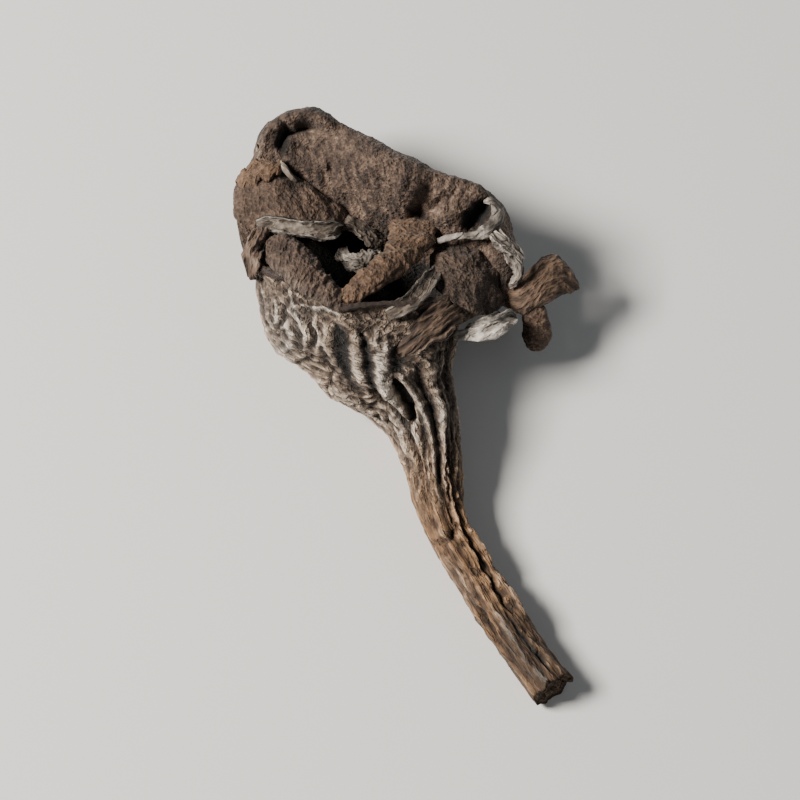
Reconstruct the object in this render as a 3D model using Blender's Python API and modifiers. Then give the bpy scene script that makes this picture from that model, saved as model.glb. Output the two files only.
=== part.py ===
"""A dried black trumpet mushroom, grown in one piece, lying on a flat surface. Metres, +Z up.

The mushroom is a funnel. Its solid, ribbed stem widens into a thin, pleated wall, which flares out
into a rolled cap with loose lobes on its margin. It lies along +Y, the broken foot towards -Y.
The origin is on the surface, under the middle of the mushroom's box.
"""

import math

import bmesh
import bpy
import numpy as np

NAME = "mushroom"
MM = 0.001  # lengths below are in millimetres, and become metres when a mesh is made

WALL_THICKNESS = 1.0
LOBE_THICKNESS = 0.9
BOX_MIDDLE = (4.869, -2.485)  # x and y of the box's middle, in the frame of the rings below

POINTS_AROUND = 46
OUTER_RINGS = 50
INNER_RINGS = 16
# Where the rings lie: a share of their count, and the share of the way from foot to margin
RING_PLACES = ((0.0, 0.0), (0.27, 0.42), (0.80, 0.84), (1.0, 1.0))
HOLLOW_STARTS = 0.60  # how far along the skin, from foot to margin, the hollow reaches down

# The pleats that run from foot to margin, in sets: how many go round, how far each turns on its
# way up, counted in pleats, and the set's share of the depth
PLEAT_SETS = ((9, 0.7, 1.0), (14, -0.8, 0.55))
PLEAT_DEPTH = ((0.0, 0.25), (0.25, 0.35), (0.45, 0.75), (0.65, 0.75), (0.8, 0.35), (1.0, 0.3))
INNER_PLEATS = 0.5  # depth of the pleats inside the funnel, as a share of their depth outside

# Hollows dried into the skin. The place and the size are shares of the way round (from the right,
# over the top) and of the way along (from foot to margin); the last number is the depth
DENTS = {
    "slit": ((0.23, 0.49), (0.018, 0.030), 1.1),
    "left_valley": ((0.29, 0.60), (0.022, 0.055), 0.9),
    "right_valley": ((0.15, 0.52), (0.024, 0.060), 0.8),
    "kink": ((0.22, 0.27), (0.16, 0.012), 0.4),
    "crease_of_hood": ((0.67, 0.93), (0.05, 0.020), -1.0),
}

# The stem and the lower funnel, from the foot upwards: the ring's middle, its half width, its half
# height, and how far its underside runs ahead of its top
BODY_RINGS = (
    ((4.1, -39.0, 2.3), 2.6, 2.3, 0.0),
    ((3.2, -36.0, 2.3), 2.4, 2.5, 0.0),
    ((1.5, -29.4, 2.4), 2.5, 2.6, 0.0),
    ((0.3, -24.0, 2.6), 2.4, 2.6, 0.0),
    ((-0.9, -18.6, 3.1), 2.3, 2.8, 0.4),
    ((-0.8, -14.0, 3.6), 2.6, 3.2, 0.6),
    ((0.1, -9.6, 4.3), 3.0, 3.9, 1.0),
    ((0.4, -4.8, 5.0), 3.8, 5.0, 2.0),
    ((-0.2, -1.2, 5.7), 5.0, 6.0, 4.4),
    ((-0.8, 2.4, 6.3), 7.6, 6.9, 8.0),
)

# The upper funnel and the cap, one row for each way round the mouth. First the angle at which that
# way leaves the body rings: 0 is to the right, 90 is up, 270 is down. Then three points of the
# wall's outside: deep in the funnel, at the brow where it flares, and at the crest of the cap.
# Last, how far the margin rolls out past the crest, and how far it drops
MOUTH = (
    (0, (8.8, 6.2, 4.6), (11.6, 5.9, 7.0), (14.2, 6.0, 9.2), 0.8, 1.0),
    (25, (7.4, 4.8, 8.3), (9.2, 4.8, 9.3), (10.9, 5.0, 10.4), 0.4, -0.2),
    (50, (4.6, 2.6, 12.0), (5.4, 3.6, 13.1), (6.2, 4.6, 14.1), 0.2, -0.6),
    (75, (-0.5, 1.0, 13.8), (0.2, 2.9, 15.0), (0.8, 4.5, 15.8), 0.1, -0.8),
    (100, (-6.0, 2.8, 14.0), (-5.6, 4.8, 15.4), (-5.2, 6.4, 16.2), 0.2, -0.8),
    (125, (-10.1, 6.9, 12.4), (-9.9, 9.4, 14.0), (-9.2, 11.6, 15.0), 0.4, -0.7),
    (150, (-11.6, 12.0, 9.0), (-12.4, 14.6, 11.0), (-12.4, 17.0, 12.3), 0.6, -0.4),
    (178, (-10.4, 17.0, 4.6), (-11.6, 20.6, 7.8), (-11.4, 23.6, 10.6), 0.9, 0.4),
    (203, (-8.2, 18.4, 1.6), (-9.6, 22.2, 7.0), (-9.6, 28.4, 11.0), 1.2, 1.4),
    (226, (-5.2, 17.8, -0.2), (-5.2, 22.0, 7.0), (-5.0, 32.2, 13.0), 1.4, 2.6),
    (248, (-2.2, 16.0, -0.8), (-1.1, 19.8, 7.2), (-0.2, 31.4, 14.4), 1.6, 3.0),
    (270, (0.6, 14.2, -1.0), (2.2, 17.8, 7.6), (3.7, 26.0, 15.4), 1.8, 3.2),
    (293, (3.4, 12.2, -0.6), (5.4, 15.6, 8.0), (8.5, 20.2, 15.8), 1.7, 3.0),
    (316, (5.8, 10.2, 0.6), (8.8, 12.4, 7.8), (14.0, 16.0, 14.6), 1.5, 2.8),
    (338, (7.6, 8.0, 2.4), (11.2, 8.6, 7.2), (15.4, 10.6, 11.8), 1.2, 2.0),
)
MOUTH_MIDDLE = (0.5, 15.0)  # the margin rolls away from here

# The direction from which the forms below are given: degrees round the mushroom, and down on it
SEEN_FROM = (-18.6, 65.0)

# Forms of the cap, each a line as seen from that direction: points to the right and up in the view,
# how wide the form is to either side, and how far it comes towards the eye. The velvet and the back
# of the cap both follow them
CAP_FORMS = {
    "pillow": (((-7.6, 28.0), (-3.8, 26.1), (-0.6, 24.0), (1.3, 22.7)), 3.3, 1.6),
    "hollow_of_hood": (((-12.9, 29.4), (-10.7, 29.8), (-8.5, 29.8)), 1.8, -1.4),
    "hollow_of_ear": (((7.2, 19.6), (8.1, 21.4), (8.9, 23.1)), 1.4, -1.8),
}
FORM_POINTS = 20  # how many points of a form's line are measured from
TURNED_AWAY = 0.25  # how squarely a face must look at the eye to take a form in full

# Loose lobes of the margin, the folds round the mouth, and the fold that bridges it. Each row is a
# station along the lobe: its middle, the vector from there to its edge, and how far the middle bows
# up. Middles and vectors are as seen from that direction: to the right, up in the view, and height
LOBES = {
    "left_lobe": (
        ((-6.0, 20.6, 9.2), (0.2, 0.5, 0.2), 0.2),
        ((-8.5, 21.6, 10.7), (-0.3, 2.0, -0.5), 0.7),
        ((-10.9, 22.2, 11.6), (-0.3, 3.0, -0.3), 1.0),
        ((-13.5, 23.0, 12.2), (-0.3, 3.8, 0.0), 1.2),
        ((-16.1, 23.3, 12.1), (-0.3, 3.6, 0.0), 1.1),
        ((-18.3, 23.0, 11.2), (-0.3, 3.0, 0.0), 0.8),
        ((-19.3, 22.7, 10.2), (0.0, 1.6, 0.0), 0.3),
    ),
    "hem": (
        ((-16.9, 20.5, 12.4), (0.0, 0.5, 0.1), -0.1),
        ((-15.8, 20.4, 13.1), (0.0, 0.9, 0.3), -0.5),
        ((-13.9, 20.3, 13.5), (0.0, 0.9, 0.3), -0.6),
        ((-11.7, 20.0, 13.3), (0.0, 0.9, 0.3), -0.6),
        ((-9.8, 19.8, 12.9), (0.1, 1.0, 0.3), -0.5),
        ((-8.2, 19.7, 12.0), (0.2, 1.0, 0.3), -0.3),
        ((-7.2, 20.0, 11.0), (0.2, 0.5, 0.2), -0.1),
    ),
    "lip_folds": (
        ((-16.5, 19.5, 12.8), (0.9, 0.0, 0.3), 0.2),
        ((-16.4, 18.3, 13.3), (1.4, 0.0, 0.4), 0.4),
        ((-16.2, 16.7, 13.6), (1.6, 0.0, 0.5), 0.5),
        ((-16.1, 15.1, 13.4), (1.6, -0.2, 0.6), 0.4),
        ((-15.6, 13.5, 12.5), (1.1, -0.2, 0.5), 0.2),
    ),
    "near_lip": (
        ((-15.4, 16.7, 13.6), (0.2, 2.2, -0.8), 0.5),
        ((-14.2, 16.7, 14.4), (0.5, 2.5, -1.0), 0.9),
        ((-12.6, 16.4, 15.2), (0.9, 2.5, -1.4), 1.2),
        ((-11.2, 15.1, 15.9), (1.4, 1.7, -1.5), 1.2),
        ((-9.8, 13.5, 16.3), (1.1, 1.3, -1.1), 1.0),
        ((-8.3, 12.1, 16.5), (0.8, 1.0, -0.8), 0.8),
        ((-6.6, 10.9, 16.3), (0.5, 0.8, -0.4), 0.4),
    ),
    "bridge": (
        ((-7.6, 10.4, 16.0), (0.7, -0.7, 0.0), 0.3),
        ((-5.8, 12.1, 16.3), (0.7, -0.9, 0.0), 0.8),
        ((-3.9, 13.8, 16.0), (0.7, -1.0, 0.0), 1.0),
        ((-1.9, 15.1, 15.2), (0.8, -1.1, -0.1), 1.1),
        ((-0.2, 16.7, 14.2), (1.4, -0.9, -0.2), 1.1),
        ((0.9, 18.7, 13.0), (1.9, -0.5, -0.2), 0.9),
        ((1.6, 20.6, 12.3), (2.2, 0.0, 0.0), 0.5),
        ((1.7, 22.2, 11.2), (1.9, 0.0, 0.0), 0.1),
    ),
    "grey_rim": (
        ((-2.0, 9.9, 16.0), (0.3, -0.5, 0.0), 0.0),
        ((-0.6, 10.7, 16.5), (0.6, -0.7, 0.0), -0.3),
        ((0.8, 11.7, 16.4), (0.7, -0.6, 0.1), -0.4),
        ((2.0, 13.1, 15.6), (0.8, -0.5, 0.1), -0.4),
        ((3.0, 14.5, 14.2), (0.8, -0.3, 0.0), -0.3),
        ((3.9, 15.8, 12.4), (0.5, -0.1, 0.0), 0.0),
    ),
    "right_pad": (
        ((2.8, 15.4, 11.6), (0.0, 1.6, -1.6), 0.2),
        ((4.4, 15.1, 12.6), (0.0, 3.0, -1.9), 0.4),
        ((6.6, 14.5, 12.6), (0.0, 3.9, -1.5), 0.6),
        ((8.5, 14.0, 11.7), (0.0, 3.9, -1.1), 0.6),
        ((10.1, 13.7, 10.2), (0.0, 3.3, -0.5), 0.4),
        ((11.3, 13.5, 8.4), (0.0, 1.9, 0.0), 0.1),
    ),
    "front_fold": (
        ((-1.3, 5.2, 12.4), (0.6, -0.6, -0.1), 0.1),
        ((0.3, 6.8, 13.8), (1.3, -1.3, -0.5), 0.4),
        ((2.2, 8.5, 14.1), (1.7, -1.7, -1.0), 0.6),
        ((4.1, 10.2, 13.9), (1.6, -1.7, -1.2), 0.6),
        ((5.7, 11.5, 13.2), (0.9, -1.1, -0.8), 0.3),
    ),
    "ear": (
        ((3.5, 18.6, 11.6), (0.3, -0.6, 0.0), 0.1),
        ((5.4, 19.1, 12.9), (0.3, -0.8, -0.2), 0.2),
        ((7.2, 18.9, 13.7), (0.1, -0.9, -0.4), 0.3),
        ((9.1, 19.4, 14.3), (0.7, -0.9, -0.5), 0.4),
        ((10.4, 20.6, 14.4), (1.1, -0.5, -0.6), 0.4),
        ((10.5, 22.1, 14.6), (1.0, 0.2, -0.7), 0.4),
        ((9.8, 23.1, 14.8), (0.5, 0.8, -0.5), 0.3),
        ((9.0, 23.7, 14.5), (0.1, 0.5, -0.2), 0.1),
    ),
    "right_flap": (
        ((10.6, 12.6, 8.4), (0.0, 1.5, 0.5), 0.2),
        ((12.3, 13.1, 9.2), (0.2, 2.4, 0.6), 0.4),
        ((14.2, 13.5, 9.4), (0.4, 2.7, 0.6), 0.6),
        ((16.1, 13.8, 9.2), (0.6, 2.8, 0.4), 0.6),
        ((18.0, 13.8, 8.5), (0.9, 2.5, 0.2), 0.5),
        ((19.1, 13.4, 7.8), (0.8, 1.7, 0.1), 0.3),
        ((19.7, 13.1, 7.2), (0.4, 0.8, 0.0), 0.1),
    ),
    "hanging_lobe": (
        ((14.3, 12.0, 8.8), (1.2, 0.0, 0.0), 0.2),
        ((14.6, 10.4, 8.2), (1.4, 0.0, 0.0), 0.4),
        ((14.8, 9.0, 7.2), (1.5, 0.0, 0.0), 0.5),
        ((14.9, 7.7, 6.0), (1.6, 0.0, 0.0), 0.5),
        ((14.9, 6.7, 5.0), (1.1, 0.0, 0.0), 0.3),
        ((14.9, 6.2, 4.5), (0.4, 0.0, 0.0), 0.1),
    ),
    "turned_edge": (
        ((12.6, 9.9, 8.2), (-0.1, 0.4, 0.3), 0.1),
        ((11.2, 9.4, 9.2), (-0.2, 1.0, 0.5), 0.2),
        ((9.4, 9.1, 9.7), (-0.3, 1.4, 0.7), 0.2),
        ((7.9, 8.5, 9.5), (-0.3, 1.1, 0.6), 0.2),
        ((6.6, 7.9, 8.9), (-0.1, 0.6, 0.3), 0.1),
        ((5.5, 7.6, 7.4), (0.0, 0.3, 0.0), 0.0),
    ),
}
EXTRA_ROWS = 1  # how many more rows than stations a lobe has
LOBE_COLUMNS = 5

FLESH_COLOUR = (0.105, 0.075, 0.055, 1.0)
FLESH_ROUGHNESS = 0.9


def smooth_through(points, knots, wanted):
    """Points at the wanted knots, on a smooth curve through the given ones."""
    shape = (-1,) + (1,) * (points.ndim - 1)
    gaps = np.diff(knots).reshape(shape)
    slopes = np.diff(points, axis=0) / gaps
    tangents = np.empty_like(points)
    tangents[0], tangents[-1] = slopes[0], slopes[-1]
    share = gaps[:-1] / (gaps[:-1] + gaps[1:])
    tangents[1:-1] = slopes[:-1] * (1 - share) + slopes[1:] * share
    piece = np.clip(np.searchsorted(knots, wanted, side="right") - 1, 0, len(knots) - 2)
    gap = gaps[piece]
    t = (wanted - knots[piece]).reshape(shape) / gap
    return (
        (2 * t**3 - 3 * t**2 + 1) * points[piece]
        + (t**3 - 2 * t**2 + t) * gap * tangents[piece]
        + (3 * t**2 - 2 * t**3) * points[piece + 1]
        + (t**3 - t**2) * gap * tangents[piece + 1]
    )


def smooth_round(points, count):
    """The given number of points on a smooth closed curve through the given ones."""
    given = len(points)
    wrapped = np.concatenate([points[-2:], points, points[:3]])
    return smooth_through(wrapped, np.arange(-2.0, given + 3), np.arange(count) * given / count)


def body_ring(index):
    """One ring of the stem or lower funnel, with a point for each way round the mouth."""
    middle, half_width, half_height, lead = BODY_RINGS[index]
    before = np.array(BODY_RINGS[max(index - 1, 0)][0])
    after = np.array(BODY_RINGS[min(index + 1, len(BODY_RINGS) - 1)][0])
    heading = math.atan2(after[1] - before[1], after[0] - before[0])
    sideways = np.array([math.sin(heading), -math.cos(heading), 0.0])
    ring = []
    for way in MOUTH:
        angle = math.radians(way[0])
        lift = np.array([0.0, -lead / 2, half_height]) * math.sin(angle)
        ring.append(np.array(middle) + sideways * half_width * math.cos(angle) + lift)
    return ring


def margin_ring():
    """The edge of the cap: past the crest, rolled outwards and down."""
    ring = []
    for _, _, _, crest, roll, drop in MOUTH:
        outward = np.array([crest[0] - MOUTH_MIDDLE[0], crest[1] - MOUTH_MIDDLE[1], 0.0])
        outward /= np.linalg.norm(outward)
        ring.append(np.array(crest) + outward * roll - np.array([0.0, 0.0, drop]))
    return ring


def control_rings():
    """Every ring that the skin runs through, from the foot to the margin."""
    rings = [body_ring(index) for index in range(len(BODY_RINGS))]
    rings += [[np.array(way[column], float) for way in MOUTH] for column in (1, 2, 3)]
    rings.append(margin_ring())
    return np.array(rings)


def plain_skin():
    """The outside of the mushroom before its pleats: its rings, and how far along each one is."""
    control = control_rings()
    along = np.interp(np.linspace(0.0, 1.0, OUTER_RINGS), *zip(*RING_PLACES))
    steps = np.linalg.norm(np.diff(control, axis=0), axis=2)
    steps = (steps + steps.mean(axis=1, keepdims=True)) / 2
    ways = []
    for way in range(len(MOUTH)):
        knots = np.concatenate([[0.0], np.cumsum(steps[:, way])])
        ways.append(smooth_through(control[:, way], knots, along * knots[-1]))
    return np.array([smooth_round(ring, POINTS_AROUND) for ring in np.swapaxes(ways, 0, 1)]), along


def view_axes():
    """The ways that are to the right, up and towards the eye, seen from the forms' direction."""
    turn, tilt = (math.radians(angle) for angle in SEEN_FROM)
    right = np.array([math.cos(turn), math.sin(turn), 0.0])
    ahead = np.array([-math.sin(turn), math.cos(turn), 0.0])
    above = np.array([0.0, 0.0, 1.0])
    up = ahead * math.sin(tilt) + above * math.cos(tilt)
    back = above * math.sin(tilt) - ahead * math.cos(tilt)
    return right, up, back


def from_view(seen):
    """A point or a vector in the frame of the rings, from how far it is right, up and high."""
    right, up, _ = view_axes()
    across, upward, height = seen
    ahead = np.array([-right[1], right[0], 0.0])
    level = across * right + ahead * (upward - up[2] * height) / (ahead @ up)
    return level + np.array([0.0, 0.0, height])


def cap_forms(rings, normals):
    """How far the forms of the cap move each point of the skin."""
    right, up, back = view_axes()
    flat = np.stack([rings @ right, rings @ up], axis=-1)
    shown = np.clip(-(normals @ back) / TURNED_AWAY, 0.0, 1.0)
    heights = np.zeros(rings.shape[:2])
    for path, width, height in CAP_FORMS.values():
        knots = np.arange(len(path), dtype=float)
        line = smooth_through(np.array(path), knots, np.linspace(0, knots[-1], FORM_POINTS))
        gaps = np.linalg.norm(flat[:, :, None] - line, axis=-1).min(axis=-1)
        heights += height * np.exp(-((gaps / width) ** 2))
    return back * (shown * heights)[..., None]


def outward_normals(rings):
    """Unit normals of a grid of rings, facing out of the funnel."""
    around = np.roll(rings, -1, axis=1) - np.roll(rings, 1, axis=1)
    lengthways = np.gradient(rings, axis=0)
    normals = np.cross(lengthways, around)
    return normals / np.linalg.norm(normals, axis=2, keepdims=True)


def relief(along):
    """How far the pleats lift the skin, and the dents lower it, at each point of the grid."""
    turn = np.arange(POINTS_AROUND) / POINTS_AROUND
    along = along[:, None]
    heights = np.zeros((len(along), POINTS_AROUND))
    for count, twist, share in PLEAT_SETS:
        drift = 0.9 * np.sin(4 * math.pi * turn + 5.0 * along + count)
        phase = 2 * math.pi * (count * turn + twist * along) + drift
        heights += share * (np.cos(phase) + 0.3 * np.sin(2 * phase + 9.0 * along))
    heights *= np.interp(along, *zip(*PLEAT_DEPTH))
    for (turn_at, along_at), (turn_size, along_size), depth in DENTS.values():
        aside = (turn - turn_at + 0.5) % 1.0 - 0.5
        heights -= depth * np.exp(-((aside / turn_size) ** 2) - ((along - along_at) / along_size) ** 2)
    return heights


def on_surface(points, lowest):
    """The same points, with none below the given height."""
    return np.concatenate([points[..., :2], np.maximum(points[..., 2:], lowest)], axis=-1)


def make_skin():
    """The whole funnel as one closed skin: outside, round the margin, and down the hollow."""
    rings, along = plain_skin()
    rings = rings + cap_forms(rings, outward_normals(rings))
    normals = outward_normals(rings)
    heights = relief(along)[..., None]
    outside = on_surface(rings + normals * heights, 0.0)
    depths = heights * INNER_PLEATS - WALL_THICKNESS
    inside = on_surface(rings + normals * depths, WALL_THICKNESS)
    first = int(np.searchsorted(along, HOLLOW_STARTS))
    down = np.linspace(OUTER_RINGS - 1, first, INNER_RINGS).round().astype(int)
    sheet = np.concatenate([outside, inside[down]])

    mesh = bmesh.new()
    foot = mesh.verts.new(sheet[0].mean(axis=0))
    grid = [[mesh.verts.new(point) for point in ring] for ring in sheet]
    floor_of_hollow = mesh.verts.new(sheet[-1].mean(axis=0))
    for i in range(POINTS_AROUND):
        j = (i + 1) % POINTS_AROUND
        mesh.faces.new((foot, grid[0][j], grid[0][i]))
        for low, high in zip(grid, grid[1:]):
            mesh.faces.new((low[i], low[j], high[j], high[i]))
        mesh.faces.new((grid[-1][i], grid[-1][j], floor_of_hollow))
    return mesh


def make_lobe(stations):
    """One lobe as a thin open sheet, swept along its stations."""
    middles = np.array([from_view(station[0]) for station in stations])
    edges = np.array([from_view(station[1]) for station in stations])
    bows = np.array([[station[2]] for station in stations], float)
    knots = np.arange(len(stations), dtype=float)
    wanted = np.linspace(0, knots[-1], len(stations) + EXTRA_ROWS)
    middles, edges, bows = (smooth_through(values, knots, wanted) for values in (middles, edges, bows))
    normals = np.cross(edges, np.gradient(middles, axis=0))
    normals /= np.linalg.norm(normals, axis=1, keepdims=True)
    normals *= np.sign(normals[:, 2:])

    mesh = bmesh.new()
    grid = []
    for middle, edge, bow, normal in zip(middles, edges, bows, normals):
        across = np.linspace(-1.0, 1.0, LOBE_COLUMNS)
        grid.append([mesh.verts.new(middle + edge * t + normal * bow * (1 - t * t)) for t in across])
    for low, high in zip(grid, grid[1:]):
        for i in range(LOBE_COLUMNS - 1):
            mesh.faces.new((low[i], low[i + 1], high[i + 1], high[i]))
    return mesh


def add_object(name, mesh, collection):
    """Places a mesh given in millimetres as an object in metres, and links it to the collection."""
    for vertex in mesh.verts:
        vertex.co.x -= BOX_MIDDLE[0]
        vertex.co.y -= BOX_MIDDLE[1]
        vertex.co *= MM
    bmesh.ops.recalc_face_normals(mesh, faces=mesh.faces)
    data = bpy.data.meshes.new(name)
    mesh.to_mesh(data)
    mesh.free()
    made = bpy.data.objects.new(name, data)
    collection.objects.link(made)
    return made


def add_collection(name):
    """A new collection in the scene."""
    collection = bpy.data.collections.new(name)
    bpy.context.scene.collection.children.link(collection)
    return collection


def flesh_material():
    """The dry, matt, brown-grey flesh."""
    material = bpy.data.materials.new("dried_flesh")
    material.use_nodes = True
    shader = material.node_tree.nodes["Principled BSDF"]
    shader.inputs["Base Color"].default_value = FLESH_COLOUR
    shader.inputs["Roughness"].default_value = FLESH_ROUGHNESS
    shader.inputs["Metallic"].default_value = 0.0
    return material


def clear_scene():
    """Takes every object out of the scene."""
    for old in list(bpy.data.objects):
        bpy.data.objects.remove(old, do_unlink=True)


def build():
    """Makes the mushroom: its skin, with each lobe grown onto it."""
    clear_scene()
    parts = add_collection("black_trumpet_mushroom")
    helpers = add_collection("lobes_to_join")
    mushroom = add_object(NAME, make_skin(), parts)
    mushroom.data.materials.append(flesh_material())
    mushroom.data.shade_smooth()
    for name, stations in LOBES.items():
        lobe = add_object(name, make_lobe(stations), helpers)
        lobe.hide_render = True
        lobe.display_type = "WIRE"
        sheet = lobe.modifiers.new("thickness", "SOLIDIFY")
        sheet.thickness = LOBE_THICKNESS * MM
        sheet.offset = 0.0
        join = mushroom.modifiers.new(name, "BOOLEAN")
        join.operation = "UNION"
        join.object = lobe


build()
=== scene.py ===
"""The looks of a dried black trumpet mushroom, lying on a plain pale floor.

The mushroom's skin and the loose lobes of its margin are closed meshes, worked out ring by ring
from given stations. Lengths are in millimetres until a mesh is made. The stations are in the
growth frame, in which the mushroom's foot points to -Y and its cap to +Y; it differs from the
shared frame by BOX_MIDDLE alone. A place in the picture is given in millimetres to the right of
and above its middle.
"""

import logging
import math
from dataclasses import dataclass, field
from enum import Enum

import bmesh
import bpy
import numpy as np
from mathutils import Matrix, Vector


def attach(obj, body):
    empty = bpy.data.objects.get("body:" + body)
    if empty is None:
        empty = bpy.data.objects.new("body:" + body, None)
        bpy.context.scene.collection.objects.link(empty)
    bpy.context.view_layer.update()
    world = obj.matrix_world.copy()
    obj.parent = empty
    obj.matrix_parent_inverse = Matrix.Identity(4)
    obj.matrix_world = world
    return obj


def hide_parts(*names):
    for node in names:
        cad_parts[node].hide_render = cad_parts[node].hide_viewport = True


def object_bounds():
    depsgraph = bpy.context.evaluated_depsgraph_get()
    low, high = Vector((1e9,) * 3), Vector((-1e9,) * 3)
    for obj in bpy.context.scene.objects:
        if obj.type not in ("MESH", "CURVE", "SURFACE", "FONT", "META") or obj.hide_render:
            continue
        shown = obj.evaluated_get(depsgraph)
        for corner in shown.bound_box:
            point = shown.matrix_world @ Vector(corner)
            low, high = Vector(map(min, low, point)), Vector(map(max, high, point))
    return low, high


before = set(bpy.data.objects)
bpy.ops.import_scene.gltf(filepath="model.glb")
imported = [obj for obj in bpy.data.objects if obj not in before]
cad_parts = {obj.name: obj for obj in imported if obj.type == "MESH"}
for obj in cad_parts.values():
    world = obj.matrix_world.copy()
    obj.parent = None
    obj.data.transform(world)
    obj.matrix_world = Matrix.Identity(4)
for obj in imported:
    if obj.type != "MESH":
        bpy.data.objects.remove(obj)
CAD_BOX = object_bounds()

Pair = tuple[float, float]
Triple = tuple[float, float, float]
Socket = bpy.types.NodeSocket

MM = 0.001
NODE = "mushroom"
BODY = "root"
BOX_MIDDLE = (4.869, -2.485, 0.0)
log = logging.getLogger("mushroom")

# The stem and the lower funnel, from the foot upwards: the ring's middle, its half width, its half
# height, and how far its underside runs ahead of its top
BODY_RINGS = (
    ((4.1, -39.0, 2.3), 2.6, 2.3, 0.0),
    ((3.2, -36.0, 2.3), 2.4, 2.5, 0.0),
    ((1.5, -29.4, 2.4), 2.5, 2.6, 0.0),
    ((0.3, -24.0, 2.6), 2.4, 2.6, 0.0),
    ((-0.9, -18.6, 3.1), 2.3, 2.8, 0.4),
    ((-0.8, -14.0, 3.6), 2.6, 3.2, 0.6),
    ((0.1, -9.6, 4.3), 3.0, 3.9, 1.0),
    ((0.4, -4.8, 5.0), 3.8, 5.0, 2.0),
    ((-0.2, -1.2, 5.7), 5.0, 6.0, 4.4),
    ((-0.8, 2.4, 6.3), 7.6, 6.9, 8.0),
)

# The upper funnel and the cap, one row for each way round the mouth: the angle at which that way
# leaves the body rings, the wall's outside deep in the funnel, at the brow and at the crest of the
# cap, and how far the margin rolls out past the crest and drops
MOUTH = (
    (0, (8.8, 6.2, 4.6), (11.6, 5.9, 7.0), (14.2, 6.0, 9.2), 0.8, 1.0),
    (25, (7.4, 4.8, 8.3), (9.2, 4.8, 9.3), (10.9, 5.0, 10.4), 0.4, -0.2),
    (50, (4.6, 2.6, 12.0), (5.4, 3.6, 13.1), (6.2, 4.6, 14.1), 0.2, -0.6),
    (75, (-0.5, 1.0, 13.8), (0.2, 2.9, 15.0), (0.8, 4.5, 15.8), 0.1, -0.8),
    (100, (-6.0, 2.8, 14.0), (-5.6, 4.8, 15.4), (-5.2, 6.4, 16.2), 0.2, -0.8),
    (125, (-10.1, 6.9, 12.4), (-9.9, 9.4, 14.0), (-9.2, 11.6, 15.0), 0.4, -0.7),
    (150, (-11.6, 12.0, 9.0), (-12.4, 14.6, 11.0), (-12.4, 17.0, 12.3), 0.6, -0.4),
    (178, (-10.4, 17.0, 4.6), (-11.6, 20.6, 7.8), (-11.4, 23.6, 10.6), 0.9, 0.4),
    (203, (-8.2, 18.4, 1.6), (-9.6, 22.2, 7.0), (-9.6, 28.4, 11.0), 1.2, 1.4),
    (226, (-5.2, 17.8, -0.2), (-5.2, 22.0, 7.0), (-5.0, 32.2, 13.0), 1.4, 2.6),
    (248, (-2.2, 16.0, -0.8), (-1.1, 19.8, 7.2), (-0.2, 31.4, 14.4), 1.6, 3.0),
    (270, (0.6, 14.2, -1.0), (2.2, 17.8, 7.6), (3.7, 26.0, 15.4), 1.8, 3.2),
    (293, (3.4, 12.2, -0.6), (5.4, 15.6, 8.0), (8.5, 20.2, 15.8), 1.7, 3.0),
    (316, (5.8, 10.2, 0.6), (8.8, 12.4, 7.8), (14.0, 16.0, 14.6), 1.5, 2.8),
    (338, (7.6, 8.0, 2.4), (11.2, 8.6, 7.2), (15.4, 10.6, 11.8), 1.2, 2.0),
)
MOUTH_MIDDLE = np.array([0.5, 15.0, 0.0])  # the margin rolls away from here


def smooth_through(points: np.ndarray, knots: np.ndarray, wanted: np.ndarray) -> np.ndarray:
    """Reads a smooth curve through given points.

    Args:
        points: The points, one a row.
        knots: Where on the curve each point lies.
        wanted: Where on the curve to read it.

    Returns:
        The curve's points, one for each wanted place.
    """
    shape = (-1,) + (1,) * (points.ndim - 1)
    gaps = np.diff(knots).reshape(shape)
    slopes = np.diff(points, axis=0) / gaps
    tangents = np.empty_like(points)
    tangents[0], tangents[-1] = slopes[0], slopes[-1]
    share = gaps[:-1] / (gaps[:-1] + gaps[1:])
    tangents[1:-1] = slopes[:-1] * (1 - share) + slopes[1:] * share
    piece = np.clip(np.searchsorted(knots, wanted, side="right") - 1, 0, len(knots) - 2)
    gap = gaps[piece]
    t = (wanted - knots[piece]).reshape(shape) / gap
    return (
        (2 * t**3 - 3 * t**2 + 1) * points[piece]
        + (t**3 - 2 * t**2 + t) * gap * tangents[piece]
        + (3 * t**2 - 2 * t**3) * points[piece + 1]
        + (t**3 - t**2) * gap * tangents[piece + 1]
    )


def smooth_round(points: np.ndarray, count: int) -> np.ndarray:
    """Reads a smooth closed curve through given points.

    Args:
        points: The points, one a row, once round.
        count: How many points to read.

    Returns:
        That many points, evenly spread over the given ones.
    """
    given = len(points)
    wrapped = np.concatenate([points[-2:], points, points[:3]])
    return smooth_through(wrapped, np.arange(-2.0, given + 3), np.arange(count) * given / count)


def ease(value: np.ndarray, start: float, end: float) -> np.ndarray:
    """Rises smoothly from 0 at start to 1 at end."""
    t = np.clip((value - start) / (end - start), 0.0, 1.0)
    return t * t * (3 - 2 * t)


def unit(vectors: np.ndarray) -> np.ndarray:
    """The same vectors, each of length one."""
    return vectors / np.maximum(np.linalg.norm(vectors, axis=-1, keepdims=True), 1e-9)


class Side(Enum):
    """The two faces of the thin flesh."""

    OUTSIDE = "outside"
    INSIDE = "inside"


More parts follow.
